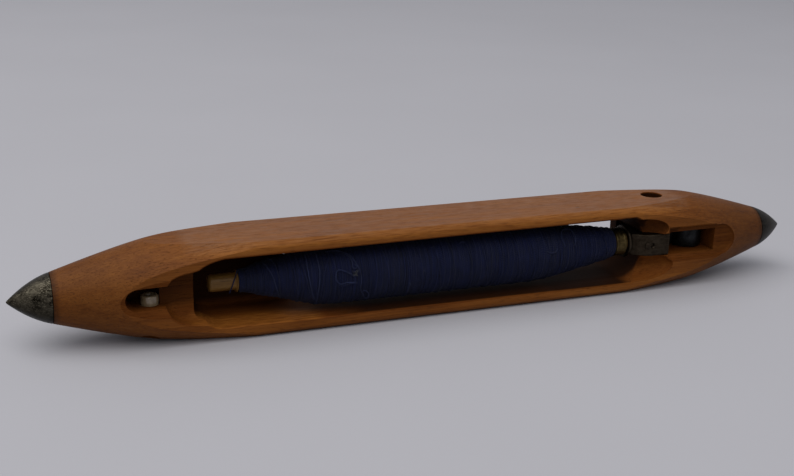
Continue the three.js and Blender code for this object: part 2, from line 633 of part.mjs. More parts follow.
// Pirn: the turned wooden quill that carries the thread
function pirnBarrel() {
  const bore = SPINDLE_ROOT_RADIUS + PIRN_BORE_CLEARANCE;
  const boreEnd = HEAD_FRONT - SPINDLE_LENGTH - PIRN_BORE_SPARE;
  const seat = PIRN_BUTT_RADIUS - FERRULE_WALL - SEAT_GAP;
  const groove = PIRN_BUTT_X - BUTT_GROOVE_LENGTH;
  const collar = along(YARN_START) - SEAT_GAP;
  const tipX = along(PIRN_TIP);
  const outline = [
    [tipX, 0],
    [tipX, PIRN_TIP_RADIUS - PIRN_TIP_ROUND],
    [tipX + PIRN_TIP_ROUND, PIRN_TIP_RADIUS],
    [collar - PIRN_COLLAR_WIDTH, PIRN_TIP_RADIUS],
    [collar - PIRN_COLLAR_WIDTH, PIRN_COLLAR_RADIUS],
    [collar, PIRN_COLLAR_RADIUS],
    [collar, PIRN_TIP_RADIUS],
    [FERRULE_X, PIRN_BARREL_RADIUS],
    [FERRULE_X, seat],
    [groove, seat],
    [groove, PIRN_BUTT_RADIUS - BUTT_GROOVE_DEPTH],
    [PIRN_BUTT_X, PIRN_BUTT_RADIUS - BUTT_GROOVE_DEPTH],
    [PIRN_BUTT_X, bore],
    [boreEnd, bore - PIRN_BORE_TAPER],
    [boreEnd - SPINDLE_TIP_RADIUS, 0],
  ];
  return turned(outline, PIRN_Y, MORTISE_Z, PIRN_SIDES);
}

// A ring round the pirn's butt, with softened outer edges
function ring(fromX, toX, inner, outer) {
  const lip = (outer - inner) / 3;
  const profile = [
    [fromX, inner],
    [fromX, outer - lip],
    [fromX + lip, outer],
    [toX - lip, outer],
    [toX, outer - lip],
    [toX, inner],
    [fromX, inner],
  ];
  return turned(profile, PIRN_Y, MORTISE_Z, TURN_SIDES);
}

function ferrule() {
  const inner = PIRN_BUTT_RADIUS - FERRULE_WALL;
  return ring(FERRULE_X, FERRULE_X + FERRULE_LENGTH, inner, PIRN_BUTT_RADIUS);
}

function buttRing() {
  const inner = PIRN_BUTT_RADIUS - BUTT_GROOVE_DEPTH + SEAT_GAP;
  return ring(PIRN_BUTT_X - BUTT_RING_LENGTH, PIRN_BUTT_X, inner, BUTT_RING_RADIUS);
}

// Radius of the full thread package, at a distance from the near point's end.
function yarnRadius(distance) {
  const ease = (share) => Math.sin((Math.PI / 2) * THREE.MathUtils.clamp(share, 0, 1));
  const nose = 1 - ease((distance - YARN_START) / YARN_NOSE);
  const base = 1 - ease((YARN_END - distance) / YARN_BASE);
  return YARN_RADIUS - nose * (YARN_RADIUS - YARN_NOSE_RADIUS) - base * (YARN_RADIUS - YARN_BASE_RADIUS);
}

const barrelRadius = (distance) =>
  THREE.MathUtils.mapLinear(distance, YARN_START, YARN_END, PIRN_TIP_RADIUS, PIRN_BARREL_RADIUS);

// The package under its outer turns, sleeved on the barrel
function yarnCore() {
  const steps = 14;
  const outer = [];
  for (let i = 0; i <= steps; i++) {
    const d = THREE.MathUtils.lerp(YARN_START, YARN_END, i / steps);
    outer.push([along(d), yarnRadius(d) - TURN_THICKNESS - SEAT_GAP]);
  }
  const inner = [YARN_END, YARN_START].map((d) => [along(d), barrelRadius(d) + SEAT_GAP]);
  return turned([...outer, ...inner, outer[0]], PIRN_Y, MORTISE_Z, PIRN_SIDES);
}

// Section of a turn, as [share of its half width, share of its half thickness]
const TURN_SECTION = [
  [-1, 0],
  [-1, 1],
  [1, 1],
  [1, 0],
  [1, -1],
  [-1, -1],
];

// Six points of the winding's section after a count of steps
function turnRing(step) {
  const pitch = (YARN_END - YARN_START) / (YARN_TURNS + 1);
  const centre = YARN_START + pitch / 2 + (pitch * step) / TURN_STEPS;
  const angle = (2 * Math.PI * step) / TURN_STEPS;
  const halfWidth = (pitch - TURN_GAP) / 2;
  return TURN_SECTION.map(([across, up]) => {
    const d = centre + across * (halfWidth - (up === 0 ? 0 : TURN_EDGE));
    const r = yarnRadius(d) - TURN_THICKNESS / 2 + (up * TURN_THICKNESS) / 2;
    return new THREE.Vector3(along(d), PIRN_Y + r * Math.cos(angle), MORTISE_Z + r * Math.sin(angle));
  });
}

// Least distance between the points of the winding's neighbouring turns
function leastTurnGap(rings) {
  let least = Infinity;
  for (let i = 0; i + TURN_STEPS + 1 < rings.length; i++) {
    for (const point of rings[i]) {
      for (const offset of [-1, 0, 1]) {
        for (const other of rings[i + TURN_STEPS + offset]) least = Math.min(least, point.distanceTo(other));
      }
    }
  }
  return least;
}

// Outer layer of the thread package: one unbroken band of turns from the tip to the butt
function yarnWinding() {
  const rings = [];
  for (let step = 0; step <= YARN_TURNS * TURN_STEPS; step++) rings.push(turnRing(step));
  console.log(`yarn_winding: least gap between turns ${leastTurnGap(rings).toFixed(2)} mm`);
  const sides = TURN_SECTION.length;
  const index = [];
  for (let i = 0; i + 1 < rings.length; i++) {
    for (let k = 0; k < sides; k++) {
      const a = i * sides + k;
      const b = i * sides + ((k + 1) % sides);
      index.push(a, a + sides, b, b, a + sides, b + sides);
    }
  }
  const last = (rings.length - 1) * sides;
  for (let k = 1; k + 1 < sides; k++) index.push(0, k, k + 1, last, last + k + 1, last + k);
  const geometry = new THREE.BufferGeometry();
  geometry.setFromPoints(rings.flat());
  geometry.setIndex(index);
  return solid(geometry);
}

// Centre line of the tongue's spring, from its foot on the slot's floor over the bow to its free curl
function springPath() {
  const half = SPRING_THICKNESS / 2;
  const floor = deep(TONGUE_SLOT_DEPTH - SEAT_GAP - half);
  const leg = SLOT_END_X - SEAT_GAP - half;
  const bow = SPRING_BOW_RADIUS - half;
  const heel = PIVOT_X + HEEL_RADIUS + SEAT_GAP + half;
  const curl = SPRING_CURL / 2;
  const path = new THREE.Path();
  path.moveTo(leg - SPRING_CORNER - SPRING_FOOT_LENGTH, floor);
  path.lineTo(leg - SPRING_CORNER, floor);
  path.absarc(leg - SPRING_CORNER, floor - SPRING_CORNER, SPRING_CORNER, Math.PI / 2, 0, true);
  path.absarc(leg - bow, deep(SPRING_BOW_DEPTH), bow, 0, -Math.PI, true);
  path.quadraticCurveTo(leg - 2 * bow, PIVOT_Y - SPRING_CURL, heel, PIVOT_Y);
  path.quadraticCurveTo(heel, PIVOT_Y + curl, heel + curl / 2, PIVOT_Y + SPRING_CURL);
  return path.getPoints(8);
}

// Outline of a strip of the given thickness along a centre line
function stripShape(points, thickness) {
  const sides = [[], []];
  points.forEach((point, i) => {
    const before = points[Math.max(0, i - 1)];
    const after = points[Math.min(points.length - 1, i + 1)];
    const normal = new THREE.Vector2(before.y - after.y, after.x - before.x).setLength(thickness / 2);
    sides[0].push(point.clone().add(normal));
    sides[1].unshift(point.clone().sub(normal));
  });
  return new THREE.Shape([...sides[0], ...sides[1]]);
}

function tongueSpring() {
  const points = springPath().filter((point, i, all) => i === 0 || point.distanceTo(all[i - 1]) > 0.05);
  const half = SPRING_WIDTH / 2;
  const strip = raise(stripShape(points, SPRING_THICKNESS), MORTISE_Z - half, MORTISE_Z + half);
  const above = TONGUE_SLOT_DEPTH - 2 * SPRING_THICKNESS;
  return strip.subtract(pinAlongY(SCREW_RADIUS + SEAT_GAP, SCREW_X, MORTISE_Z, above, TONGUE_SLOT_DEPTH));
}

function springScrew() {
  const head = TONGUE_SLOT_DEPTH - 2 * SEAT_GAP - SPRING_THICKNESS;
  const shank = pinAlongY(SCREW_RADIUS, SCREW_X, MORTISE_Z, head - SCREW_SLOT_DEPTH, screwEnd());
  const cap = pinAlongY(SCREW_HEAD_RADIUS, SCREW_X, MORTISE_Z, head - SCREW_HEAD_HEIGHT, head, PIN_SIDES);
  const slot = new THREE.BoxGeometry(3 * SCREW_HEAD_RADIUS, 2 * SCREW_SLOT_DEPTH, SCREW_SLOT_WIDTH);
  slot.translate(SCREW_X, deep(head - SCREW_HEAD_HEIGHT), MORTISE_Z);
  return cut(join(shank, cap), solid(slot));
}

// Finishes
function finish(color, roughness, metalness) {
  return new THREE.MeshStandardMaterial({ color, roughness, metalness });
}

const bodyWood = finish(0xa8672f, 0.42, 0);
const pirnWood = finish(0xc7a468, 0.6, 0);
const pointSteel = finish(0x5d5b52, 0.45, 0.9);
const darkSteel = finish(0x4c4a45, 0.5, 0.85);
const springSteel = finish(0x3c4148, 0.35, 0.9);
const brass = finish(0x8d7a45, 0.45, 0.9);
const porcelain = finish(0xd8d3c4, 0.2, 0);
const thread = finish(0x23284f, 0.85, 0);

const shuttle = new THREE.Group();
const pieces = [
  ["shuttle_body", shuttleBody(), bodyWood],
  ["tip_near", tip(-1), pointSteel],
  ["tip_far", tip(1), pointSteel],
  ["thread_eye", eyeTube(), porcelain],
  ["pivot_pin", pivotPin(), darkSteel],
  ["tongue_spring", tongueSpring(), springSteel],
  ["spring_screw", springScrew(), darkSteel],
  ["tongue_head", tongueHead(), darkSteel],
  ["spindle", spindle(), darkSteel],
  ["grip_spring", gripSpring(), springSteel],
  ["grip_rivet", gripRivet(), darkSteel],
  ["pirn_barrel", pirnBarrel(), pirnWood],
  ["pirn_ferrule", ferrule(), brass],
  ["pirn_butt_ring", buttRing(), pointSteel],
  ["yarn_core", yarnCore(), thread],
  ["yarn_winding", yarnWinding(), thread],
];
for (const [name, piece, material] of pieces) {
  const mesh = new THREE.Mesh(geometryOf(piece), material);
  mesh.name = name;
  shuttle.add(mesh);
}

export default shuttle;
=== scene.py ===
# %% [markdown]
# # A loaded power-loom shuttle
# The shuttle lies on its front wall, with its mouth towards -Y, its tongue towards +X and its back
# wall up. The solids of the model come in first and stay where they are. Everything below either
# gives one of them a finish, or stands in its place with a finer shape.

# %% Load the frame
import json
import math

import bmesh
import bpy
from mathutils import Matrix, Quaternion, Vector
from mathutils.bvhtree import BVHTree

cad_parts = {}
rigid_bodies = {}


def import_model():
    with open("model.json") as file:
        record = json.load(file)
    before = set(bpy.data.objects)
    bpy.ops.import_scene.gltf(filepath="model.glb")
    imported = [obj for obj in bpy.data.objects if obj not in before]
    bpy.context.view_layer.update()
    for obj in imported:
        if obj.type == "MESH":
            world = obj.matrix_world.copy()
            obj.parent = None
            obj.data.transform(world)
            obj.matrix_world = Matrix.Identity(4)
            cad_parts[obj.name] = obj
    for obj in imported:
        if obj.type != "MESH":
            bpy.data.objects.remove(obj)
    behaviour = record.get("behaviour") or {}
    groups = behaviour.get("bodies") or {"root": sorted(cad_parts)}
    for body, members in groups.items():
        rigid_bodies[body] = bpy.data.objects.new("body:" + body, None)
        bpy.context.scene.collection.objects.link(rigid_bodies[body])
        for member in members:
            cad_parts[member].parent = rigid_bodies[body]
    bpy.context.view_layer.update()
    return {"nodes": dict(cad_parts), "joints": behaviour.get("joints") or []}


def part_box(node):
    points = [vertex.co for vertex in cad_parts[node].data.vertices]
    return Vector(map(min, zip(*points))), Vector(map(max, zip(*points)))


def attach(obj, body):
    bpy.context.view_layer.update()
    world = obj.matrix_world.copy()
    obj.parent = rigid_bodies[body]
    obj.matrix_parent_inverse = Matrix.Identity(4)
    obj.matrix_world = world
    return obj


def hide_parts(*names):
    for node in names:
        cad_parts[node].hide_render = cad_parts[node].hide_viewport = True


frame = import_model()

MM = 0.001


def placed(name, data):
    """A new object in the scene, at the origin."""
    made = bpy.data.objects.new(name, data)
    bpy.context.scene.collection.objects.link(made)
    return made


def from_bmesh(name, shape):
    """Keeps a shape as a mesh on an object of its own."""
    mesh = bpy.data.meshes.new(name)
    shape.to_mesh(mesh)
    shape.free()
    return placed(name, mesh)


def flattened(piece):
    """The piece's mesh as its modifiers leave it, and the modifiers are taken off."""
    bpy.context.view_layer.update()
    plain = bpy.data.meshes.new_from_object(piece.evaluated_get(bpy.context.evaluated_depsgraph_get()))
    piece.modifiers.clear()
    return plain


# %% [markdown]
# The photograph was taken from the left, a little above the shuttle, with the camera slightly
# tilted. The camera's place was found by fitting the shuttle's outline, so it is kept as an
# azimuth, an elevation, a roll and a distance from a point on the shuttle, which is how a
# photographer would describe it.

# %% Camera
CAMERA_LENS = 55.28
CAMERA_SENSOR = 36.0
CAMERA_AZIMUTH = -21.94
CAMERA_ELEVATION = 17.39
CAMERA_ROLL = 1.46
CAMERA_DISTANCE = 0.60668
CAMERA_AIM = Vector((-0.02273, 0, 0.03621))

azimuth = math.radians(CAMERA_AZIMUTH)
elevation = math.radians(CAMERA_ELEVATION)
towards_camera = Vector((
    math.sin(azimuth) * math.cos(elevation),
    -math.cos(azimuth) * math.cos(elevation),
    math.sin(elevation),
))
camera = placed("camera", bpy.data.cameras.new("camera"))
camera.data.lens = CAMERA_LENS
camera.data.sensor_width = CAMERA_SENSOR
camera.location = CAMERA_AIM + towards_camera * CAMERA_DISTANCE
camera.rotation_mode = "QUATERNION"
roll = Quaternion((0, 0, 1), math.radians(CAMERA_ROLL))
camera.rotation_quaternion = (-towards_camera).to_track_quat("-Z", "Y") @ roll
bpy.context.scene.camera = camera
print("camera at", [round(v, 3) for v in camera.location])

# %% [markdown]
# Materials here are node trees that are put together in code. Two small helpers keep that short:
# one adds a node and fills its sockets, either with a value or with a link from another node, and
# the other starts an empty material with its shader. The rest are the few sums that every finish
# needs.

# %% Helpers for node trees
def add(tree, kind, sockets=(), **settings):
    """Adds a node. Sockets are filled by name or number, with a value or with another node's output."""
    node = tree.nodes.new(kind)
    for setting, value in settings.items():
        setattr(node, setting, value)
    for key, value in dict(sockets).items():
        if isinstance(value, bpy.types.NodeSocket):
            tree.links.new(value, node.inputs[key])
        else:
            node.inputs[key].default_value = value
    return node


def sum_of(tree, operation, a, b=0.0):
    return add(tree, "ShaderNodeMath", {0: a, 1: b}, operation=operation).outputs[0]


def plus(tree, a, b):
    return sum_of(tree, "ADD", a, b)


def minus(tree, a, b):
    return sum_of(tree, "SUBTRACT", a, b)


def times(tree, a, b):
    return sum_of(tree, "MULTIPLY", a, b)


def vector(tree, operation, a, b=(0, 0, 0)):
    """A sum of two vectors. It gives a number when it measures a length or a dot product."""
    node = add(tree, "ShaderNodeVectorMath", {0: a, 1: b}, operation=operation)
    return node.outputs["Value" if operation in ("LENGTH", "DOT_PRODUCT") else "Vector"]


def scaled(tree, a, factor):
    return add(tree, "ShaderNodeVectorMath", {0: a, 3: factor}, operation="SCALE").outputs[0]


def spread(tree, value, from_low, from_high, to_low=0.0, to_high=1.0):
    """Maps a value from one range onto another and stops it at the ends."""
    sockets = {"Value": value, 1: from_low, 2: from_high, 3: to_low, 4: to_high}
    return add(tree, "ShaderNodeMapRange", sockets).outputs[0]


def mixed(tree, share, a, b, mode="MIX"):
    sockets = {0: share, 6: a, 7: b}
    return add(tree, "ShaderNodeMix", sockets, data_type="RGBA", blend_type=mode).outputs[2]


def tint(red, green, blue, strength=1.0):
    """A colour for a socket, darker or lighter by a strength."""
    return (strength * red, strength * green, strength * blue, 1.0)


def new_finish(name, **constants):
    """A material with an empty tree, its shader, and the values that are the same all over."""
    finish = bpy.data.materials.new(name)
    finish.use_nodes = True
    tree = finish.node_tree
    tree.nodes.clear()
    shader = add(tree, "ShaderNodeBsdfPrincipled")
    add(tree, "ShaderNodeOutputMaterial", {"Surface": shader.outputs[0]})
    for socket, value in constants.items():
        shader.inputs[socket.replace("_", " ")].default_value = value
    return finish, tree, shader


def lead(tree, shader, **values):
    """Leads values into a shader's sockets, whose names are written with _ for a space."""
    for socket, value in values.items():
        tree.links.new(value, shader.inputs[socket.replace("_", " ")])


def place_mm(tree, scale=(1, 1, 1), turn=(0, 0, 0), shift=(0, 0, 0)):
    """Object coordinates in millimetres, stretched, turned and shifted for one pattern."""
    at = add(tree, "ShaderNodeTexCoord").outputs["Object"]
    sockets = {"Vector": scaled(tree, at, 1 / MM), "Location": shift, "Rotation": turn, "Scale": scale}
    return add(tree, "ShaderNodeMapping", sockets).outputs[0]


def noise(tree, at, scale=1.0, detail=3.0, roughness=0.55):
    sockets = {"Vector": at, "Scale": scale, "Detail": detail, "Roughness": roughness}
    return add(tree, "ShaderNodeTexNoise", sockets).outputs["Fac"]


def bumped(tree, height, depth_mm, under=None):
    sockets = {"Height": height, "Distance": depth_mm * MM, "Strength": 1.0}
    if under:
        sockets["Normal"] = under
    return add(tree, "ShaderNodeBump", sockets).outputs[0]


# %% [markdown]
# The floor is a plain pale sheet that runs far past the picture, so the background needs no wall.
# The photograph's shadows are so soft that they only darken the floor a little, which takes one very
# wide lamp overhead and an even sky. Camera rays and reflections that miss the floor see the same
# pale grey as the floor, so metal shows a bright room and the level of light on the wood stays plain.

# %% Floor, sky and lamps
FLOOR_SIZE = 8.0
FLOOR_PATCHES, FLOOR_DULLEST = (0.004, 0.004, 0.004), 0.97
FLOOR_GREY = tint(0.402, 0.392, 0.408)
SKY_LIGHT = tint(0.86, 0.9, 1.0)
SKY_STRENGTH = 0.45
LAMP_PLACE = Vector((-0.9, -0.4, 2.4))
LAMP_SIZE = (4.6, 2.8)
LAMP_POWER = 80.0


def floor_sheet():
    half = FLOOR_SIZE / 2
    mesh = bpy.data.meshes.new("floor")
    corners = [(-half, -half, 0), (half, -half, 0), (half, half, 0), (-half, half, 0)]
    mesh.from_pydata(corners, [], [(0, 1, 2, 3)])
    finish, tree, shader = new_finish("floor_paper", Roughness=0.75)
    patches = noise(tree, place_mm(tree, FLOOR_PATCHES), detail=2)
    shade = spread(tree, patches, 0.3, 0.7, FLOOR_DULLEST, 1.0)
    grey = add(tree, "ShaderNodeCombineColor", {0: shade, 1: shade, 2: shade}).outputs[0]
    lead(tree, shader, Base_Color=mixed(tree, 1.0, FLOOR_GREY, grey, "MULTIPLY"))
    mesh.materials.append(finish)
    placed("floor", mesh)


def soft_lamp(name, place, size, power):
    lamp = bpy.data.lights.new(name, "AREA")
    lamp.shape = "RECTANGLE"
    lamp.size, lamp.size_y = size
    lamp.energy = power
    made = placed(name, lamp)
    made.location = place
    made.rotation_euler = (CAMERA_AIM - place).to_track_quat("-Z", "Y").to_euler()


def pale_room():
    world = bpy.data.worlds.new("room")
    bpy.context.scene.world = world
    world.use_nodes = True
    tree = world.node_tree
    tree.nodes.clear()
    ray = add(tree, "ShaderNodeLightPath").outputs
    seen = sum_of(tree, "MAXIMUM", ray["Is Camera Ray"], ray["Is Transmission Ray"])
    seen = sum_of(tree, "MAXIMUM", seen, ray["Is Glossy Ray"])
    sky = add(tree, "ShaderNodeBackground", {"Color": SKY_LIGHT, "Strength": SKY_STRENGTH}).outputs[0]
    wall = add(tree, "ShaderNodeBackground", {"Color": FLOOR_GREY, "Strength": 1.0}).outputs[0]
    chosen = add(tree, "ShaderNodeMixShader", {0: seen, 1: sky, 2: wall}).outputs[0]
    add(tree, "ShaderNodeOutputWorld", {"Surface": chosen})


floor_sheet()
pale_room()
soft_lamp("lamp_overhead", LAMP_PLACE, LAMP_SIZE, LAMP_POWER)
bpy.context.scene.view_settings.view_transform = "Standard"
print("floor of", FLOOR_SIZE, "m, lamp of", LAMP_SIZE, "m")

# %% [markdown]
# Wood is the main finish. The grain of a shuttle runs from point to point, so every pattern is
# stretched along X. Growth rings are the distance from a pith line that lies outside the billet and
# leans a little, which gives long lines on the sides and curved ones on the turned ends. Fine
# fibres, short dark pores and broad patches of colour go over them.

# %% Wood
# Waves per millimetre along the grain and twice across it.
SWAY, FIBRE, STREAK = (0.012, 0.09, 0.09), (0.03, 1.3, 1.3), (0.01, 0.28, 0.28)
PATCH, PORE, FLECK = (0.018, 0.05, 0.05), (0.2, 3.4, 3.4), (0.12, 1.7, 1.7)
# Shares that the patterns have in the tone, which then picks a colour from dark to pale.
STREAK_SHARE, FIBRE_SHARE, PATCH_SHARE, RING_SHARE, TONE_SHIFT = 0.6, 0.85, 0.45, 0.03, 0.475
DARK_TONE, MIDDLE_TONE, PALE_TONE = 0.08, 0.4, 0.72
ACROSS = (0, 1, 1)
PITH_LEAN = (0, math.radians(1.1), math.radians(-0.8))
GRAIN_DEPTH = 0.035


def wood(name, dark, middle, pale, ring_width, pith, polish, gloss=0.09, marks=(), shades=(), wear_and_painted_light=()):
    finish, tree, shader = new_finish(name, IOR=1.5, Specular_IOR_Level=gloss)
    sway = noise(tree, place_mm(tree, SWAY), detail=2)
    leaning = place_mm(tree, turn=PITH_LEAN, shift=pith)
    radius = vector(tree, "LENGTH", vector(tree, "MULTIPLY", leaning, ACROSS))
    radius = plus(tree, radius, times(tree, sway, 2.6 * ring_width))
    phase = times(tree, radius, 2 * math.pi / ring_width)
    ring = spread(tree, sum_of(tree, "SINE", phase), -0.2, 1.0)
    fibre = noise(tree, place_mm(tree, FIBRE), detail=6, roughness=0.7)
    streak = noise(tree, place_mm(tree, STREAK), detail=3)
    patch = noise(tree, place_mm(tree, PATCH), detail=2)
    pore = spread(tree, noise(tree, place_mm(tree, PORE), detail=2, roughness=0.5), 0.58, 0.68)
    tone = plus(tree, times(tree, streak, STREAK_SHARE), times(tree, fibre, FIBRE_SHARE))
    tone = minus(tree, tone, TONE_SHIFT)
    tone = plus(tree, tone, times(tree, patch, PATCH_SHARE))
    tone = minus(tree, tone, times(tree, ring, RING_SHARE))
    ramp = add(tree, "ShaderNodeValToRGB", {"Fac": tone})
    for stop, tone_at, colour in zip(ramp.color_ramp.elements, (DARK_TONE, PALE_TONE), (dark, pale)):
        stop.position = tone_at
        stop.color = tint(*colour)
    ramp.color_ramp.elements.new(MIDDLE_TONE).color = tint(*middle)
    colour = mixed(tree, times(tree, pore, 0.6), ramp.outputs[0], tint(*dark, 0.35))
    # Each box darkens the colour: at the joints and ends, and as painted shade in hollows and along the
    # floor.
    for low, high, soft, strength in shades:
        shade = times(tree, within(tree, low, high, soft), strength)
        colour = mixed(tree, shade, colour, tint(*middle, 0.12))
    polished = 0.0
    # Painted light: each of these boxes lightens the colour towards its tint, as a painted highlight, sheen
    # or pool of light, and lowers the roughness a little.
    for low, high, soft, strength, lit_tint in wear_and_painted_light:
        flecks = spread(tree, noise(tree, place_mm(tree, FLECK), detail=4), 0.36, 0.6)
        shade = times(tree, within(tree, low, high, soft), flecks)
        colour = mixed(tree, times(tree, shade, strength), colour, tint(*lit_tint))
        polished = plus(tree, times(tree, shade, 0.12), polished)
    height = minus(tree, times(tree, fibre, 0.5), pore)
    normal = bumped(tree, height, GRAIN_DEPTH)
    for place, size, depth in marks:
        dent = worn_spot(tree, place, size)
        colour = mixed(tree, times(tree, dent, 0.75), colour, tint(*dark, 0.25))
        normal = bumped(tree, minus(tree, 1.0, dent), depth, normal)
    rough = spread(tree, plus(tree, streak, patch), 0.7, 1.3, polish - 0.05, polish + 0.08)
    rough = minus(tree, plus(tree, rough, times(tree, pore, 0.15)), polished)
    lead(tree, shader, Base_Color=colour, Roughness=rough, Normal=normal)
    return finish


def within(tree, low, high, soft):
    """1 inside a box with two given corners, which fades to 0 over a distance for each axis."""
    middle = tuple((a + b) / 2 for a, b in zip(low, high))
    half = tuple((b - a) / 2 for a, b in zip(low, high))
    away = vector(tree, "SUBTRACT", place_mm(tree), middle)
    away = vector(tree, "ABSOLUTE", away)
    away = vector(tree, "SUBTRACT", away, half)
    away = vector(tree, "MAXIMUM", away, (0, 0, 0))
    away = vector(tree, "DIVIDE", away, soft)
    gap = vector(tree, "LENGTH", away)
    return spread(tree, gap, 0.0, 1.0, 1.0, 0.0)


def worn_spot(tree, place, size):
    """1 in the middle of a small nick and 0 outside it; place and size are in millimetres."""
    away = vector(tree, "SUBTRACT", place_mm(tree), place)
    ragged = times(tree, noise(tree, place_mm(tree, (1.2, 1.2, 1.2))), 0.6 * size)
    length = vector(tree, "MULTIPLY", away, (0.6, 1.0, 1.0))
    length = vector(tree, "LENGTH", length)
    return spread(tree, plus(tree, length, ragged), 0.45 * size, 1.1 * size, 1.0, 0.0)


# %% [markdown]
# The steel points are dark and worn: a brown-grey skin of old oxide, brighter where it is rubbed,
# with many fine scratches that run along and across. Scratches are noise that is stretched a lot in
# one direction and cut off high, so that only thin lines are left. On the near point a painted
# highlight makes the side that is turned up and to the front brightest, and painted shade darkens
# the side away from it.

# %% Metals
SCRATCH_FULL = 0.68  # where in the noise a scratch has its full strength


def scratches(tree, turn, fine=2.6, long=0.12, low=0.6):
    at = place_mm(tree, (long, fine, fine), turn)
    return spread(tree, noise(tree, at, detail=2, roughness=0.4), low, SCRATCH_FULL)


def towards(tree, axis_at, side):
    """How far a place on a turned piece lies towards one side of its axis, which runs along X: -1 to 1."""
    away = vector(tree, "SUBTRACT", place_mm(tree), axis_at)
    away = vector(tree, "MULTIPLY", away, ACROSS)
    away = vector(tree, "NORMALIZE", away)
    return vector(tree, "DOT_PRODUCT", away, side)


def worn_metal(name, skin, wear_and_painted_light, stain, roughness, scored, stained, turned_lines=0.0, lit_side=None):
    finish, tree, shader = new_finish(name, Metallic=1.0)
    cloud = noise(tree, place_mm(tree, (0.22, 0.3, 0.3)), detail=5, roughness=0.65)
    grit = noise(tree, place_mm(tree, (2.4, 2.4, 2.4)), detail=3)
    lines = scratches(tree, (0.1, 0.5, 0.4))
    lines = sum_of(tree, "MAXIMUM", lines, scratches(tree, (0.4, -0.7, 1.2), fine=3.4))
    lines = sum_of(tree, "MAXIMUM", lines, scratches(tree, (1.0, 0.2, -0.5), fine=2.0, long=0.08, low=0.63))
    bright = spread(tree, cloud, 0.36, 0.66)
    # Painted highlight and shade: the rubbed patches and scratches show more towards the given side of the
    # axis and less away from it.
    if lit_side:
        side = towards(tree, *lit_side)
        bright = times(tree, bright, spread(tree, side, 0.25, 0.97, 0.3, 1.1))
        lines = times(tree, lines, spread(tree, side, 0.5, 1.0, 0.35, 1.5))
    colour = mixed(tree, bright, tint(*skin), tint(*wear_and_painted_light))
    colour = mixed(tree, times(tree, spread(tree, grit, 0.5, 0.72), stained), colour, tint(*stain))
    colour = mixed(tree, times(tree, lines, scored), colour, tint(*wear_and_painted_light, 1.7))
    height = minus(tree, times(tree, grit, 0.35), times(tree, lines, 0.5))
    if turned_lines:
        sockets = {"Vector": place_mm(tree), "Scale": turned_lines, "Distortion": 0.4}
        bands = add(tree, "ShaderNodeTexWave", sockets)
        height = plus(tree, height, times(tree, bands.outputs["Fac"], 0.4))
    rough = plus(tree, roughness, times(tree, minus(tree, cloud, 0.5), 0.35))
    lead(tree, shader, Base_Color=colour, Roughness=rough, Normal=bumped(tree, height, 0.02))
    return finish


# %% [markdown]
# Glazed porcelain is a smooth pale body under a clear coat. The glaze of an old eye is a little
# uneven and stained where the thread and lint have run.

# %% Porcelain
def glaze(name, pale, stain):
    finish, tree, shader = new_finish(name, Roughness=0.28, IOR=1.52, Coat_Weight=0.7, Coat_Roughness=0.08)
    cloud = noise(tree, place_mm(tree, (0.5, 0.5, 0.5)), detail=4)
    speck = spread(tree, noise(tree, place_mm(tree, (1.7, 1.7, 1.7)), detail=1), 0.7, 0.76)
    colour = mixed(tree, spread(tree, cloud, 0.4, 0.75, 0.0, 0.6), tint(*pale), tint(*stain))
    colour = mixed(tree, times(tree, speck, 0.7), colour, tint(*stain, 0.3))
    lead(tree, shader, Base_Color=colour, Normal=bumped(tree, cloud, 0.04))
    return finish


# %% Finishes of the pieces
NICKS = (
    ((-135.6, -16.4, 40.5), 0.9, 0.25),
    ((-128.5, -17.5, 46.2), 0.8, 0.2),
    ((141.8, -10.5, 46.5), 0.9, 0.25),
    ((74.0, -8.5, 46.6), 1.3, 0.15),
)
DARK_NEAR_END = ((-230, -40, -10), (-176, 40, 60), (55, 55, 55), 0.36)
DARK_FAR_END = ((176, -40, -10), (230, 40, 60), (60, 60, 60), 0.5)
DARK_NEAR_JOINT = ((-230, -40, -10), (-190, 40, 60), (2.5, 2.5, 2.5), 0.6)
DARK_FAR_JOINT = ((190, -40, -10), (230, 40, 60), (2.5, 2.5, 2.5), 0.6)
# Painted shadow: a dark band along the lower front edge, where the body meets the floor.
SHADOW_LOWER_EDGE = ((-160, -30, -5), (150, -17.6, 0.4), (1.5, 1.5, 1.5), 0.8)
# Painted shade: the boxes below darken the inside of the mortise and chamber, the throat, the floor under the
# pirn, the upper scoop and the pin's hole, where shade falls.
SHADE_MORTISE = ((-44, -18.9, -10), (82, 30, 60), (24, 1.2, 1.4), 0.93)
SHADE_FRONT_WALL = ((60, -18.9, -10), (98, 30, 7.2), (5, 1.2, 0.8), 0.93)
SHADE_BACK_CORNER = ((95, -18.5, 34), (113, 30, 60), (1.5, 1.5, 1.5), 0.93)
SHADE_THROAT = ((-154, -13.5, 20), (-127, 30, 60), (4, 3, 4), 0.62)
SHADE_FLOOR = ((-125, -8, 11), (-60, 30, 60), (3, 5, 4), 0.88)
SHADE_UPPER_SCOOP = ((96, -21, 28), (130, -6, 44), (2, 2, 2), 0.5)
SHADE_CHAMBER = ((60, -16.0, 12), (104, 30, 60), (4, 4, 4), 0.88)
SHADE_CHAMBER_END = ((78, -9.5, -10), (113, 30, 60), (3, 3, 3), 0.92)
SHADE_PIN_HOLE = ((116, -8, 34), (134, 11, 45.7), (0.8, 0.8, 0.8), 0.93)
# Painted highlight and polish on the ridge between the top face and the mouth's face: the paler colour is a
# painted highlight, and the lower roughness is polish.
POLISH_AND_HIGHLIGHT_RIDGE = ((-150, -20.2, 43.0), (150, -16.8, 46.4), (1.2, 1.2, 1.2), 0.45, (0.31, 0.115, 0.02))
# Painted sheen: the top face is lightened towards a grey tan.
PAINTED_SHEEN_TOP = ((-128, -15.6, 46.3), (135, 30, 60), (6, 5, 5), 0.38, (0.205, 0.112, 0.064))
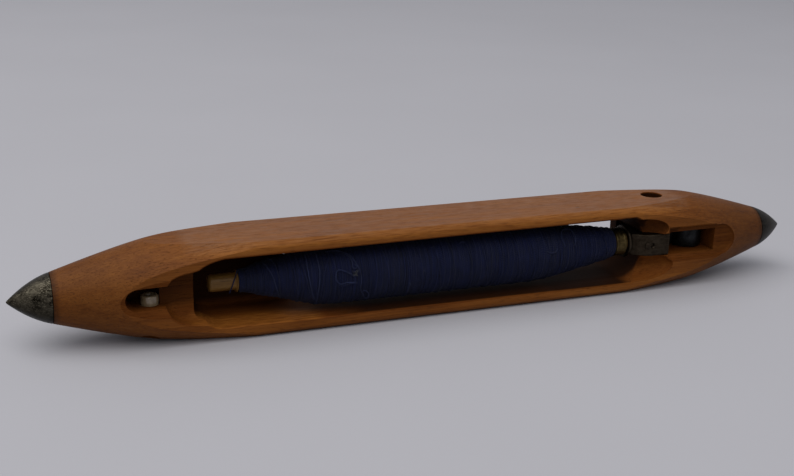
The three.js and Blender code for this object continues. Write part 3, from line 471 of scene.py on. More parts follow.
# Painted light: a pool of light on the inner face of the front wall near the mortise's start.
PAINTED_LIGHT_WALL = ((-126, -18, 5), (-72, -8, 9), (7, 6, 6), 0.7, (0.31, 0.108, 0.017))
BODY_PITH, PIRN_PITH = (0, 52, -9), (0, 14, -4)
body_wood = wood("body_wood", (0.066, 0.0165, 0.0018), (0.155, 0.0475, 0.007), (0.23, 0.08, 0.014),
                 ring_width=1.5, pith=BODY_PITH, polish=0.45, marks=NICKS, wear_and_painted_light=(POLISH_AND_HIGHLIGHT_RIDGE, PAINTED_SHEEN_TOP),
                 shades=(DARK_NEAR_END, DARK_FAR_END, DARK_NEAR_JOINT, DARK_FAR_JOINT, SHADOW_LOWER_EDGE))
# The inside finish is darker than the outside, partly as bare wood and partly as painted shade.
cut_wood = wood("cut_wood", (0.052, 0.013, 0.0016), (0.118, 0.033, 0.0048), (0.17, 0.054, 0.009),
                ring_width=1.5, pith=BODY_PITH, polish=0.66, gloss=0.05, wear_and_painted_light=(PAINTED_LIGHT_WALL,),
                shades=(DARK_NEAR_END, DARK_FAR_END, SHADE_MORTISE, SHADE_FRONT_WALL, SHADE_BACK_CORNER,
                        SHADE_THROAT, SHADE_FLOOR, SHADE_UPPER_SCOOP, SHADE_CHAMBER, SHADE_CHAMBER_END,
                        SHADE_PIN_HOLE))
# Painted shade: the pirn's pale wood is given a dark colour for its place deep in the mortise.
pirn_wood = wood("pirn_wood", (0.045, 0.02, 0.0035), (0.105, 0.05, 0.01), (0.17, 0.09, 0.024),
                 ring_width=0.9, pith=PIRN_PITH, polish=0.34, gloss=0.22)
# Painted highlight: the near point is drawn brightest on the side turned up and to the front, and darker
# below.
PAINTED_HIGHLIGHT_SIDE = ((0, 0, 23.3), (0, -0.81, 0.59))  # a place on the points' axis, and the way to the bright side
point_steel = worn_metal("point_steel", (0.007, 0.0057, 0.0035), (0.072, 0.0635, 0.046),
                         (0.005, 0.0037, 0.0023), roughness=0.4, scored=0.7, stained=0.7, turned_lines=0.9,
                         lit_side=PAINTED_HIGHLIGHT_SIDE)
# Painted shade: the far point is the same steel as the near one, and this darker copy of its finish paints
# the shade on it.
shaded_far_steel = worn_metal("far_point_steel", (0.004, 0.0033, 0.0024), (0.029, 0.025, 0.019),
                       (0.003, 0.0022, 0.0016), roughness=0.46, scored=0.6, stained=0.8, turned_lines=0.9)
dark_steel = worn_metal("dark_steel", (0.018, 0.013, 0.0085), (0.046, 0.036, 0.025), (0.02, 0.0095, 0.005),
                        roughness=0.47, scored=0.3, stained=0.7)
spring_steel = worn_metal("spring_steel", (0.009, 0.0095, 0.01), (0.03, 0.032, 0.034), (0.006, 0.005, 0.004),
                          roughness=0.5, scored=0.25, stained=0.3)
old_brass = worn_metal("old_brass", (0.042, 0.029, 0.011), (0.105, 0.077, 0.031), (0.018, 0.012, 0.0055),
                       roughness=0.46, scored=0.3, stained=0.45)
# Painted shade: the eye's white glaze is given a dull, dark colour for its place down in its pocket.
porcelain = glaze("porcelain", (0.19, 0.138, 0.076), (0.07, 0.041, 0.017))
rusty_steel = worn_metal("rusty_steel", (0.012, 0.0065, 0.0035), (0.03, 0.017, 0.0095),
                         (0.007, 0.003, 0.0015), roughness=0.62, scored=0.3, stained=0.7)
print("finishes made:", len(bpy.data.materials))

# %% [markdown]
# The body is one billet of hardwood. It starts as a bar with rounded edges, whose two ends are
# turned down in a lathe towards the points, so the blank is the part that a bar and a turned form
# have in common. Then the cutters follow, as at the bench: the mouth and the mortise right through,
# the slot for the tongue, the eye's pocket and the finger scoops. Each cutter flares where it
# leaves the wood, which gives the sanded, rounded rim of a used shuttle without a bevel afterwards.

# %% Sizes of the body, in millimetres
body_low, body_high = (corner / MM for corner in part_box("shuttle_body"))
near_point_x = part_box("tip_near")[0].x / MM
spindle_low, spindle_high = (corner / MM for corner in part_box("spindle"))
BODY_WIDTH = body_high.z - body_low.z
HALF_HEIGHT = (body_high.y - body_low.y) / 2
HALF_LENGTH = -near_point_x
MID_Z = BODY_WIDTH / 2
MORTISE_Z = (spindle_low.z + spindle_high.z) / 2
hinge = next(joint for joint in frame["joints"] if joint["name"] == "tongue_hinge")
PIVOT_X, PIVOT_Y = (hinge["pos_m"][i] / MM for i in (0, 1))
PIRN_DEPTH = 13.9  # from the mouth to the axis of spindle and pirn
PIRN_Y = -HALF_HEIGHT + PIRN_DEPTH
EDGE_ROUND = 3.2
WOOD_END = 19.5  # from a point's end to where the wood begins
WOOD_END_RADIUS = 11.8
TAPER_END = 62.5
TAPER_BULGE = (47.3, 20.3)
SHOULDER = 69
RIM = 0.8  # rounding of the rims round the cuts
RIM_STEPS, FOOT_STEPS = 4, 5
ROUNDING_TURNS = (0, 0.4, 0.8, 1.2, 1.57)  # in radians, up to a right angle
OVERRUN = 4  # how far a cutter reaches out of the wood
SHOULDER_START, SHOULDER_FULL = 0.23, 0.9  # how far the shoulder's curve keeps to the lines it joins
EDGE_FULLNESS = 0.25
LATHE_SIDES = 144


def along(distance):
    """From a distance past the near point's end to X."""
    return distance - HALF_LENGTH


def deep(depth):
    """From a depth below the mouth to Y."""
    return depth - HALF_HEIGHT


print(f"body {BODY_WIDTH:.1f} x {2 * HALF_HEIGHT:.1f} mm, mortise centre line at {MORTISE_Z:.1f}")

# %% Curves and outlines
def bezier(points, steps):
    """Points along a curve of any degree, without its first one, because the line before ends there."""
    curve = []
    for i in range(1, steps + 1):
        t = i / steps
        level = [Vector(p) for p in points]
        while len(level) > 1:
            level = [a.lerp(b, t) for a, b in zip(level, level[1:])]
        curve.append(tuple(level[0]))
    return curve


def round_about(x, y, z, radius, sides):
    """Points round a circle that lies across X."""
    turns = [2 * math.pi * k / sides for k in range(sides)]
    return [(x, y + radius * math.cos(t), z + radius * math.sin(t)) for t in turns]


def quarter(radius, steps, first=0):
    """Places round a quarter of a circle, each as the radius times the (sine, cosine) of its angle."""
    turns = [math.pi / 2 * i / steps for i in range(first, steps + 1)]
    return [(radius * math.sin(t), radius * math.cos(t)) for t in turns]


def rounding(radius, first=0):
    """The same for the small roundings of turned pieces, which share their own few angles."""
    return [(radius * math.sin(t), radius * math.cos(t)) for t in ROUNDING_TURNS[first:]]


def arc(x, z, radius, start, end, steps=16):
    """Points round an arc, angles in degrees."""
    turns = [math.radians(start + (end - start) * i / steps) for i in range(steps + 1)]
    return [(x + radius * math.cos(t), z + radius * math.sin(t)) for t in turns]


def grown(outline, margin):
    """The outline moved outwards by a margin, corner by corner."""
    moved = []
    count = len(outline)
    area = sum(x0 * z1 - x1 * z0 for (x0, z0), (x1, z1) in zip(outline, outline[1:] + outline[:1]))
    side = 1 if area > 0 else -1
    for i, (x, z) in enumerate(outline):
        back = Vector((x, z)) - Vector(outline[i - 1])
        on = Vector(outline[(i + 1) % count]) - Vector((x, z))
        a = Vector((back.y, -back.x)).normalized() * side
        b = Vector((on.y, -on.x)).normalized() * side
        middle = (a + b).normalized()
        reach = margin / max(0.5, middle.dot(a))
        moved.append((x + middle.x * reach, z + middle.y * reach))
    return moved


# %% Solids
def new_piece(name, points_mm, faces, *finishes):
    """A closed mesh from points in millimetres, with its faces turned outwards."""
    mesh = bpy.data.meshes.new(name)
    mesh.from_pydata([Vector(p) * MM for p in points_mm], [], faces)
    shape = bmesh.new()
    shape.from_mesh(mesh)
    bmesh.ops.remove_doubles(shape, verts=shape.verts, dist=1e-7)
    bmesh.ops.recalc_face_normals(shape, faces=shape.faces)
    shape.to_mesh(mesh)
    shape.free()
    for finish in finishes:
        mesh.materials.append(finish)
    return placed(name, mesh)


def stacked(name, rings, *finishes, capped=True):
    """Joins rings of equal count into one closed solid, with a face over each end if it is capped."""
    count = len(rings[0])
    points = [p for ring in rings for p in ring]
    faces = [tuple(range(count))[::-1], tuple(range(len(points) - count, len(points)))] if capped else []
    for r in range(len(rings) - 1):
        for i in range(count):
            a, b = r * count + i, r * count + (i + 1) % count
            faces.append((a, b, b + count, a + count))
    return new_piece(name, points, faces, *finishes)


def turned(name, profile, y, z, sides, *finishes):
    """A form turned about a line along X. The profile is a list of (x, radius), and it starts and ends
    on the line or comes back to its start."""
    points, faces, rows = [], [], []
    for x, radius in profile:
        if radius < 1e-6:
            rows.append([len(points)] * sides)
            points.append((x, y, z))
            continue
        rows.append(list(range(len(points), len(points) + sides)))
        points += round_about(x, y, z, radius, sides)
    for first, second in zip(rows, rows[1:]):
        for k in range(sides):
            n = (k + 1) % sides
            face = list(dict.fromkeys((first[k], first[n], second[n], second[k])))
            if len(face) > 2:
                faces.append(face)
    return new_piece(name, points, faces, *finishes)


def levelled(outline, levels):
    """A cutter that follows an outline in X and Z down through levels of (depth, margin)."""
    rings = []
    for depth, margin in levels:
        at_depth = grown(outline, margin) if margin else outline
        rings.append([(x, deep(depth), z) for x, z in at_depth])
    return stacked("cutter", rings)


def sunk(outline, to_depth, rim=RIM, foot=0.0):
    """A cutter that goes down from the mouth, flared at the rim and rounded at its foot."""
    levels = [(-OVERRUN, rim)]
    if rim:
        levels += [(rim - across, rim - down) for down, across in quarter(rim, RIM_STEPS)]
    levels.append((to_depth - foot, 0))
    if foot:
        levels += [(to_depth - foot + down, across - foot) for down, across in quarter(foot, FOOT_STEPS, 1)]
    return levelled(outline, levels)


def cut_away(piece, cutters, operation="DIFFERENCE"):
    """Cuts or joins solids into a piece and leaves it a plain mesh."""
    for cutter in cutters:
        step = piece.modifiers.new("cut", "BOOLEAN")
        step.operation = operation
        step.solver = "MANIFOLD"
        step.object = cutter
    piece.data = flattened(piece)
    for cutter in cutters:
        bpy.data.objects.remove(cutter)
    return piece


# %% The blank
def turned_end():
    """Radius of the turned end, as (distance from the point's end, radius)."""
    flank = (TAPER_END, BODY_WIDTH / 2 + 0.1)
    corner = math.hypot(BODY_WIDTH / 2, HALF_HEIGHT) + 1
    onward = (Vector(flank) - Vector(TAPER_BULGE)).normalized() * SHOULDER * SHOULDER_START
    start = (WOOD_END, WOOD_END_RADIUS)
    taper = [start, *bezier([start, TAPER_BULGE, flank], 30)]
    before = (TAPER_END + SHOULDER * SHOULDER_FULL, corner - 2)
    return taper + bezier([flank, Vector(flank) + onward, before, (TAPER_END + SHOULDER, corner)], 30)


def body_blank():
    w, h, b = BODY_WIDTH, HALF_HEIGHT, EDGE_ROUND
    full = b * EDGE_FULLNESS
    section = [(-h + b, 0), (h - b, 0), *bezier([(h - b, 0), (h - full, full), (h, b)], 6)]
    section += [(h, w - b), *bezier([(h, w - b), (h - full, w - full), (h - b, w)], 6)]
    section += [(-h + b, w), *bezier([(-h + b, w), (-h + full, w - full), (-h, w - b)], 6)]
    section += [(-h, b), *bezier([(-h, b), (-h + full, full), (-h + b, 0)], 6)[:-1]]
    bar = stacked("shuttle_wood", [[(x, y, z) for y, z in section] for x in (-HALF_LENGTH, HALF_LENGTH)])
    side = turned_end()
    half = [(along(d), r) for d, r in side]
    profile = [(half[0][0], 0), *half, *[(-x, r) for x, r in reversed(half)], (-half[0][0], 0)]
    return cut_away(bar, [turned("lathe_form", profile, 0, MID_Z, LATHE_SIDES)], "INTERSECT")


wood_body = body_blank()
blank_faces = BVHTree.FromObject(wood_body, bpy.context.evaluated_depsgraph_get())
print("blank:", len(wood_body.data.polygons), "faces")

# %% [markdown]
# The mouth is narrow beside the eye and widens in a step to the full mortise, which is open through
# the underside except at its near end, where a floor is left. Beside the eye lies a shallow throat
# with a rounded foot. The tongue's slot runs on from the chamber, with a shallow round ramp behind
# it. A finger reaches the tongue through two dished scoops, which are parts of an ellipsoid.

# %% Sizes of the cuts
CHAMBER_START = 82
CHAMBER_END_X = PIVOT_X - 13
CHAMBER_CORNER = 9
FLOOR_END = 131
FLOOR_DEPTH = 32
MOUTH_UP, MOUTH_DOWN, MOUTH_SPREAD = 15.6, 17.6, 1
MOUTH_NARROW, NARROW_ROUND, MOUTH_STEP = 12.2, 2, 13
THROAT_START, THROAT_DEPTH, THROAT_FOOT = 67.4, 8.5, 5
THROAT_DOWN, THROAT_UP = 14.8, 11.3
EYE_SLOT_START, EYE_SLOT_WIDTH, EYE_SLOT_DEPTH = 49.5, 10.6, 20
EYE_CHANNEL_DEPTH = 9
EYE_RIM_POSITION, EYE_RIM_REACH, EYE_RIM_HALF = 74, 28, 9.2
EYE_RIM_DROP, EYE_RIM_DEPTH, EYE_RIM_LIFT = 1.1, 1.7, 6
EYE_ROOM = 0.3
EYE_POSITION, EYE_DEPTH, EYE_RADIUS = 62, 10, 4.1
TONGUE_WIDTH, TONGUE_PLAY = 11.6, 0.4
TONGUE_SLOT_END_X = HALF_LENGTH - 55.5
TONGUE_SLOT_DEPTH = 33.5
RAMP_END_X, RAMP_WIDTH, RAMP_DEPTH = HALF_LENGTH - 43, 17, 2.6
SCOOP_X, SCOOP_DEPTH, SCOOP_LIFT = PIVOT_X - 18, 9.4, 2.5
SCOOP_REACH_UP, SCOOP_REACH_DOWN = 16.5, 21
SCOOP_NEAR = TONGUE_WIDTH / 2 - 2.6
PIN_RADIUS, PIN_FRONT_WALL = 3.9, 4
PIN_MOUTH_RADIUS, PIN_MOUTH_DEPTH = 5.6, 2.6
BORE_SIDES, THREAD_GROOVE_SIDES = 40, 24
FIT = 0.3
THREAD_GROOVE_RADIUS, THREAD_GROOVE_LENGTH, THREAD_GROOVE_LIFT = 2.2, 70, 0.75
MOUTH_HIGH, MOUTH_LOW = MORTISE_Z + MOUTH_UP, MORTISE_Z - MOUTH_DOWN


# %% The mouth and the mortise
def chamber_end():
    up, down = MOUTH_HIGH, MOUTH_LOW
    x, corner_x = CHAMBER_END_X, CHAMBER_END_X - 1
    start = (x - CHAMBER_CORNER, down - MOUTH_SPREAD)
    low = [start, *bezier([start, (corner_x, down + 2), (x, down + CHAMBER_CORNER)], 10)]
    high = bezier([(x, up - CHAMBER_CORNER), (corner_x, up - 2), (x - CHAMBER_CORNER, up + MOUTH_SPREAD)], 10)
    return [*low, (x, up - CHAMBER_CORNER), *high]


def mouth_outline():
    start, wide = along(CHAMBER_START), along(CHAMBER_START) + MOUTH_STEP
    turn = start + 2 * NARROW_ROUND
    narrow, bulge = MOUTH_NARROW - NARROW_ROUND, MOUTH_NARROW + NARROW_ROUND
    up, down = MOUTH_HIGH, MOUTH_LOW
    low, high = (start, MORTISE_Z - narrow), (start, MORTISE_Z + narrow)
    near = [low, *bezier([low, (start, MORTISE_Z - bulge), (turn, MORTISE_Z - bulge)], 6)]
    near += bezier([near[-1], ((turn + wide) / 2, down), (wide, down)], 8)
    back = bezier([(wide, up), (turn, MORTISE_Z + bulge), high], 12)
    return [*near, *chamber_end(), (wide, up), *back]


def through_outline():
    start = along(FLOOR_END)
    turn = start + 12
    up, down = MOUTH_HIGH, MOUTH_LOW
    near = bezier([(start, MORTISE_Z), (start, down), (turn, down)], 10)
    back = bezier([(turn, up), (start, up), (start, MORTISE_Z)], 10)
    return [*near, *chamber_end(), (turn, up), *back]


def through_cut():
    """The mortise's lower part, which flares at the underside instead of at the mouth."""
    flare_from, flare = 2 * HALF_HEIGHT - RIM, quarter(RIM, RIM_STEPS, 1)
    levels = [(FLOOR_DEPTH - OVERRUN, 0), (flare_from, 0)]
    levels += [(flare_from + down, RIM - across) for down, across in flare]
    return levelled(through_outline(), [*levels, (2 * HALF_HEIGHT + OVERRUN, RIM)])


# %% Slots, pockets and scoops
def slot_outline(start, end, width, round_end):
    r = width / 2
    if round_end == "start":
        return [*arc(start + r, MORTISE_Z, r, 90, 270), (end, MORTISE_Z - r), (end, MORTISE_Z + r)]
    return [(start, MORTISE_Z + r), (start, MORTISE_Z - r), *arc(end - r, MORTISE_Z, r, -90, 90)]


def dish(x, z, reach_x, reach_z, depth, lift):
    """An ellipsoid that is sunk a little less than halfway into the mouth's face."""
    radius = depth + lift
    at_mouth = math.sqrt(1 - (lift / radius) ** 2)
    ball = bmesh.new()
    bmesh.ops.create_uvsphere(ball, u_segments=72, v_segments=48, radius=1)
    size = Vector((reach_x / at_mouth, radius, reach_z / at_mouth)) * MM
    centre = Vector((x, deep(-lift), z)) * MM
    ball.transform(Matrix.LocRotScale(centre, None, size) @ Matrix.Rotation(math.pi / 2, 4, "X"))
    return from_bmesh("cutter", ball)


def eye_cutters():
    start, end = along(EYE_SLOT_START), along(CHAMBER_START) + OVERRUN
    pocket_end = along(EYE_POSITION) + EYE_RADIUS + EYE_ROOM
    rim_x, rim_z = along(EYE_RIM_POSITION), MORTISE_Z - EYE_RIM_DROP
    return [
        sunk(slot_outline(start, pocket_end, EYE_SLOT_WIDTH, "start"), EYE_SLOT_DEPTH, rim=0, foot=2.5),
        sunk(slot_outline(start, end, EYE_SLOT_WIDTH, "start"), EYE_CHANNEL_DEPTH, rim=0, foot=1.2),
        dish(rim_x, rim_z, EYE_RIM_REACH, EYE_RIM_HALF, EYE_RIM_DEPTH, EYE_RIM_LIFT),
    ]


def throat_cutter():
    """The shallow end of the mouth beside the eye, which is a little narrower towards the back wall."""
    start, wide = along(THROAT_START), along(CHAMBER_START) + 1
    middle, end = (start, MORTISE_Z), wide + OVERRUN
    low, high = (wide, MORTISE_Z - THROAT_DOWN), (wide, MORTISE_Z + THROAT_UP)
    front = [middle, *bezier([middle, (start - 0.2, low[1] + 0.8), low], 12)]
    back = bezier([high, (wide - 7, high[1] - 2.1), (start + 0.6, high[1] - 0.3), middle], 12)
    return sunk([*front, (end, low[1]), (end, high[1]), high, *back[:-1]], THROAT_DEPTH, foot=THROAT_FOOT)


def scoop_cutter(side):
    edge = MOUTH_UP if side > 0 else MOUTH_DOWN + MOUTH_SPREAD
    reach = SCOOP_REACH_UP if side > 0 else SCOOP_REACH_DOWN
    middle = MORTISE_Z + side * (edge + SCOOP_NEAR) / 2
    return dish(SCOOP_X, middle, reach, (edge - SCOOP_NEAR) / 2, SCOOP_DEPTH, SCOOP_LIFT)


def tongue_cutters():
    start, half = CHAMBER_END_X - OVERRUN, TONGUE_WIDTH / 2 + TONGUE_PLAY
    end = TONGUE_SLOT_END_X
    down, up = MORTISE_Z - half, MORTISE_Z + half
    slot = [(start, down), (end, down), (end, up), (start, up)]
    ramp = slot_outline(PIVOT_X, RAMP_END_X, RAMP_WIDTH, "end")
    return [sunk(slot, TONGUE_SLOT_DEPTH, rim=0.5), sunk(ramp, RAMP_DEPTH, rim=1.3, foot=1.7)]


def bore(radius, x, y, from_z, to_z, lip=0.0):
    """A round cutter along Z; the lip widens it at its upper end."""
    turns = [2 * math.pi * k / BORE_SIDES for k in range(BORE_SIDES)]
    edge, wide = to_z - OVERRUN, radius + lip
    levels = [(from_z, radius), (edge - lip, radius), (edge, wide), (to_z, wide)]
    rings = [[(x + r * math.cos(t), y + r * math.sin(t), z) for t in turns] for z, r in levels]
    return stacked("cutter", rings)


def side_bores():
    eye_x, eye_y = along(EYE_POSITION), deep(EYE_DEPTH)
    outside = BODY_WIDTH + OVERRUN
    pin = bore(PIN_RADIUS + FIT, PIVOT_X, PIVOT_Y, PIN_FRONT_WALL, outside)
    pin_mouth = bore(PIN_MOUTH_RADIUS, PIVOT_X, PIVOT_Y, BODY_WIDTH - PIN_MOUTH_DEPTH, outside, lip=0.3)
    eye = bore(EYE_RADIUS + FIT, eye_x, eye_y, -OVERRUN, MORTISE_Z)
    from_x, radius = eye_x + EYE_RADIUS, THREAD_GROOVE_RADIUS
    to_x = from_x + THREAD_GROOVE_LENGTH
    profile = [(from_x - radius, 0), *[(from_x - back, out) for out, back in rounding(radius, 1)]]
    profile += [(to_x + on, out) for on, out in rounding(radius)[:-1]]
    groove = turned("cutter", [*profile, (to_x + radius, 0)], eye_y, -THREAD_GROOVE_LIFT, THREAD_GROOVE_SIDES)
    return [pin, pin_mouth, eye, groove]


cut_away(wood_body, [
    sunk(mouth_outline(), FLOOR_DEPTH, foot=3.0),
    through_cut(),
    scoop_cutter(1),
    scoop_cutter(-1),
    throat_cutter(),
    *eye_cutters(),
    *tongue_cutters(),
    *side_bores(),
])
print("cut body:", len(wood_body.data.polygons), "faces")

# %% [markdown]
# The outside is polished by years of hands and the loom, and the cut surfaces inside stay rougher
# and darker, which is partly bare wood and partly painted shade. The long faces are divided first, and
# then each face that lies in a face of the blank counts as outside. An edge between two faces of one
# kind is marked sharp when it is steeper than about a third of a right angle. The rims, which hands
# have worn soft, stay smooth unless they are nearly square. Face-weighted normals keep the long flat
# faces flat where they meet a rounded one.

# %% Finish of the body
SHARP_ANGLE = math.radians(32)
SOFT_RIM_ANGLE = math.radians(76)
DIVISION = 10  # length of the pieces a long face is divided into
DIVIDED_TO = 140  # how far from the middle the faces are divided
SKIN_GAP, SKIN_LIFT, SKIN_TURN = 0.2, 0.005, 0.99  # how near, level and parallel to the blank the outside is


def share_faces(piece, outside, inside):
    """Gives cut faces the inside finish, and marks edges sharp by their angle, with a looser limit where the
    kind of face changes.
    """
    piece.data.materials.clear()
    piece.data.materials.append(outside)
    piece.data.materials.append(inside)
    shape = bmesh.new()
    shape.from_mesh(piece.data)
    for x in range(-DIVIDED_TO, DIVIDED_TO + 1, DIVISION):
        parts = [*shape.verts, *shape.edges, *shape.faces]
        bmesh.ops.bisect_plane(shape, geom=parts, plane_co=(x * MM, 0, 0), plane_no=(1, 0, 0))
    kinds = {}
    for face in shape.faces:
        centre = face.calc_center_median()
        near, normal, _, gap = blank_faces.find_nearest(centre)
        lift = abs((centre - near).dot(normal))
        skin = gap < SKIN_GAP * MM and lift < SKIN_LIFT * MM and normal.dot(face.normal) > SKIN_TURN
        face.material_index = 0 if skin else 1
        kinds[face] = skin
        face.smooth = True
    for edge in shape.edges:
        sides = edge.link_faces
        limit = SHARP_ANGLE if kinds[sides[0]] == kinds[sides[1]] else SOFT_RIM_ANGLE
        edge.smooth = sides[0].normal.angle(sides[1].normal, 0) < limit
    shape.to_mesh(piece.data)
    shape.free()


def weigh_normals(piece):
    step = piece.modifiers.new("weighed", "WEIGHTED_NORMAL")
    step.keep_sharp = True
    step.weight = 90
    piece.data = flattened(piece)


share_faces(wood_body, body_wood, cut_wood)
weigh_normals(wood_body)
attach(wood_body, "shuttle")
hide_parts("shuttle_body")
print("body dressed:", sum(len(f.vertices) - 2 for f in wood_body.data.polygons), "triangles")


# %% [markdown]
# The points, the pin and the eye are turned, so each is one profile. The tongue's head is an outline
# in the plane of its swing, raised across the slot with its edges broken by wear, then bored for the
# pin and the spindle. Its small dimple, with the burr beside it, is where the head is punched.

# %% Turned pieces
TIP_BLUNT, TIP_NOSE_SLOPE = 0.35, 0.9
PIN_SINK = 3.2
EYE_FOOT, EYE_TOP, EYE_BORE, EYE_LIP = 5.2, MORTISE_Z - EYE_SLOT_WIDTH / 2 + 4.6, 1.5, 1.1
EYE_SIDES, SMALL_SIDES = 64, 32


def finished(piece, body, name_of_slot, *nodes):
    """Smooth shading up to the sharp edges, and the piece's place in the model."""
    shape = bmesh.new()
    shape.from_mesh(piece.data)
    for face in shape.faces:
        face.smooth = True
    for edge in shape.edges:
        sides = edge.link_faces
        edge.smooth = len(sides) == 2 and sides[0].normal.angle(sides[1].normal, 0) < SHARP_ANGLE
    shape.to_mesh(piece.data)
    shape.free()
    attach(piece, body)
    if nodes:
        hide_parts(*nodes)
    return piece


def spun(name, profile, centre, axis, sides, *finishes):
    """A form turned about a line along Y or Z through a centre; the profile is (place on it, radius)."""
    made = turned(name, profile, 0, 0, sides, *finishes)
    turn = Matrix.Rotation(-math.pi / 2, 4, "Y") if axis == "Z" else Matrix.Rotation(math.pi / 2, 4, "Z")
    made.data.transform(Matrix.Translation(Vector(centre) * MM) @ turn)
    made.data.update()
    return made


def point(node, side, steel):
    """One steel point; side is -1 for the near one."""
    base = WOOD_END - 0.08
    reach = WOOD_END / 2
    nose = bezier([(0, TIP_BLUNT), (reach, TIP_BLUNT + reach * TIP_NOSE_SLOPE), (base, WOOD_END_RADIUS)], 40)
    skirt = [(base - 0.25, WOOD_END_RADIUS - 0.14), (base, WOOD_END_RADIUS - 0.5), (base, 0)]
    profile = [(0, 0), (0.05, TIP_BLUNT * 0.7), *nose[:-1], *skirt]
    profile = [(side * (HALF_LENGTH - d), r) for d, r in profile]
    return finished(turned(node + "_steel", profile, 0, MID_Z, 96, steel), "shuttle", "point_steel", node)


def eye():
    lip = [(EYE_LIP - s, EYE_LIP - c) for s, c in rounding(EYE_LIP)]
    foot = [(EYE_FOOT + rise, EYE_RADIUS - inset) for rise, inset in lip[::-1]]
    top = [(EYE_TOP - rise, EYE_RADIUS - inset) for rise, inset in lip]
    bore_top = [(EYE_TOP - rise, EYE_BORE + inset) for rise, inset in lip[::-1]]
    bore_foot = [(EYE_FOOT + rise, EYE_BORE + inset) for rise, inset in lip]
    loop = [*foot, *top, *bore_top, *bore_foot, foot[0]]
    made = spun("glazed_eye", loop, (along(EYE_POSITION), deep(EYE_DEPTH), 0), "Z", EYE_SIDES, porcelain)
    return finished(made, "shuttle", "porcelain", "thread_eye")


def pivot():
    start, end = PIN_FRONT_WALL + FIT, BODY_WIDTH - PIN_SINK
    profile = [(start, 0), (start, PIN_RADIUS - 0.3), (start + FIT, PIN_RADIUS), (end - 0.8, PIN_RADIUS)]
    profile += [(end - 0.25, PIN_RADIUS - 0.2), (end, PIN_RADIUS - 0.8), (end - 0.15, 0)]
    pin = spun("pin", profile, (PIVOT_X, PIVOT_Y, 0), "Z", 48, rusty_steel)
    return finished(pin, "shuttle", "dark_steel", "pivot_pin")


turned_pieces = [point("tip_near", -1, point_steel), point("tip_far", 1, shaded_far_steel), eye(), pivot()]
print("turned pieces:", ", ".join(f"{p.name} {len(p.data.polygons)}" for p in turned_pieces))

# %% The tongue's head
HEAD_FRONT = (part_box("tongue_head")[0] / MM).x
HEAD_NECK, HEAD_TOP, HEAD_BOTTOM = deep(7.2), deep(1.8), deep(27)
HEEL_RADIUS, HEAD_BACK = 7.2, PIVOT_X + 0.6
HEAD_EDGE = 0.55
SOCKET_RADIUS, SOCKET_LENGTH, HEAD_RUNNING = 3.2, 9.3, 0.1
DIMPLE_X, DIMPLE_RADIUS = PIVOT_X - 9.5, 1.3
DIMPLE = ((-1, 0.5), (0, 0.25), (0.3, 0))  # (depth in the head's face, how much wider than its radius)
BURR_X = DIMPLE_X - 2.6
BURR = ((-0.45, 0), (-0.38, 0.7), (-0.2, 1.3), (0.05, 1.8), (0.5, 1.9), (0.5, 0))  # (depth, radius)


def raised(name, outline, low, high, edge, *finishes):
    """An outline in X and Y raised along Z, with its long edges rounded off."""
    levels = [(low + edge - out, across - edge) for out, across in quarter(edge, RIM_STEPS)][::-1]
    levels += [(high - (z - low), margin) for z, margin in levels[::-1]]
    rings = [[(x, y, z) for x, y in grown(outline, margin)] for z, margin in levels]
    return stacked(name, rings, *finishes)


def head_outline():
    chin, slope = 9, 11
    heel_end = math.degrees(math.asin(0.6 / HEEL_RADIUS)) - 90
    top_front = (HEAD_FRONT + slope, HEAD_TOP)
    start = (HEAD_FRONT, HEAD_NECK)
    points = [start, (HEAD_FRONT, HEAD_BOTTOM - chin / 2)]
    points += bezier([points[-1], (HEAD_FRONT + chin / 2, HEAD_BOTTOM), (HEAD_FRONT + chin, HEAD_BOTTOM)], 8)
    points += arc(PIVOT_X, PIVOT_Y, HEEL_RADIUS, 90, heel_end, 24)
    points += [(HEAD_BACK, HEAD_TOP), top_front]
    return points + bezier([top_front, (HEAD_FRONT + slope / 2, HEAD_TOP), start], 10)[:-1]


def tongue_head():
    low, high = MORTISE_Z - TONGUE_WIDTH / 2, MORTISE_Z + TONGUE_WIDTH / 2
    head = raised("head", head_outline(), low, high, HEAD_EDGE, dark_steel)
    burr = [(HEAD_TOP + depth, radius) for depth, radius in BURR]
    cut_away(head, [spun("cutter", burr, (BURR_X, 0, MORTISE_Z), "Y", SMALL_SIDES)], "UNION")
    hole = bore(PIN_RADIUS + HEAD_RUNNING, PIVOT_X, PIVOT_Y, low - 1, high + 1 + OVERRUN)
    front, end = HEAD_FRONT - 1, HEAD_FRONT + SOCKET_LENGTH
    walls = [(front, 0), (front, SOCKET_RADIUS), (end, SOCKET_RADIUS), (end, 0)]
    socket = turned("cutter", walls, PIRN_Y, MORTISE_Z, SMALL_SIDES)
    dimple = [(HEAD_TOP - 1, 0), *[(HEAD_TOP + depth, DIMPLE_RADIUS + wider) for depth, wider in DIMPLE]]
    dimple += [(HEAD_TOP + 1.4, DIMPLE_RADIUS * 0.7), (HEAD_TOP + 1.6, 0)]
    cut_away(head, [hole, socket, spun("cutter", dimple, (DIMPLE_X, 0, MORTISE_Z), "Y", SMALL_SIDES)])
    return finished(head, "tongue", "dark_steel", "tongue_head")


head = tongue_head()
print("head:", len(head.data.polygons), "faces")

# %% [markdown]
# The spring is a bent strip. Its own solid already has the right path, so a copy of it is merged
# into clean faces and its edges are broken. The spindle, its grip spring and the rivet lie inside
# the pirn, so they keep their solids and only take a finish.

# %% Spring, screw and the pieces inside the pirn
FLAT_ANGLE, BEVELLED_ANGLE = math.radians(1), math.radians(50)
SPRING_EDGE = 0.25


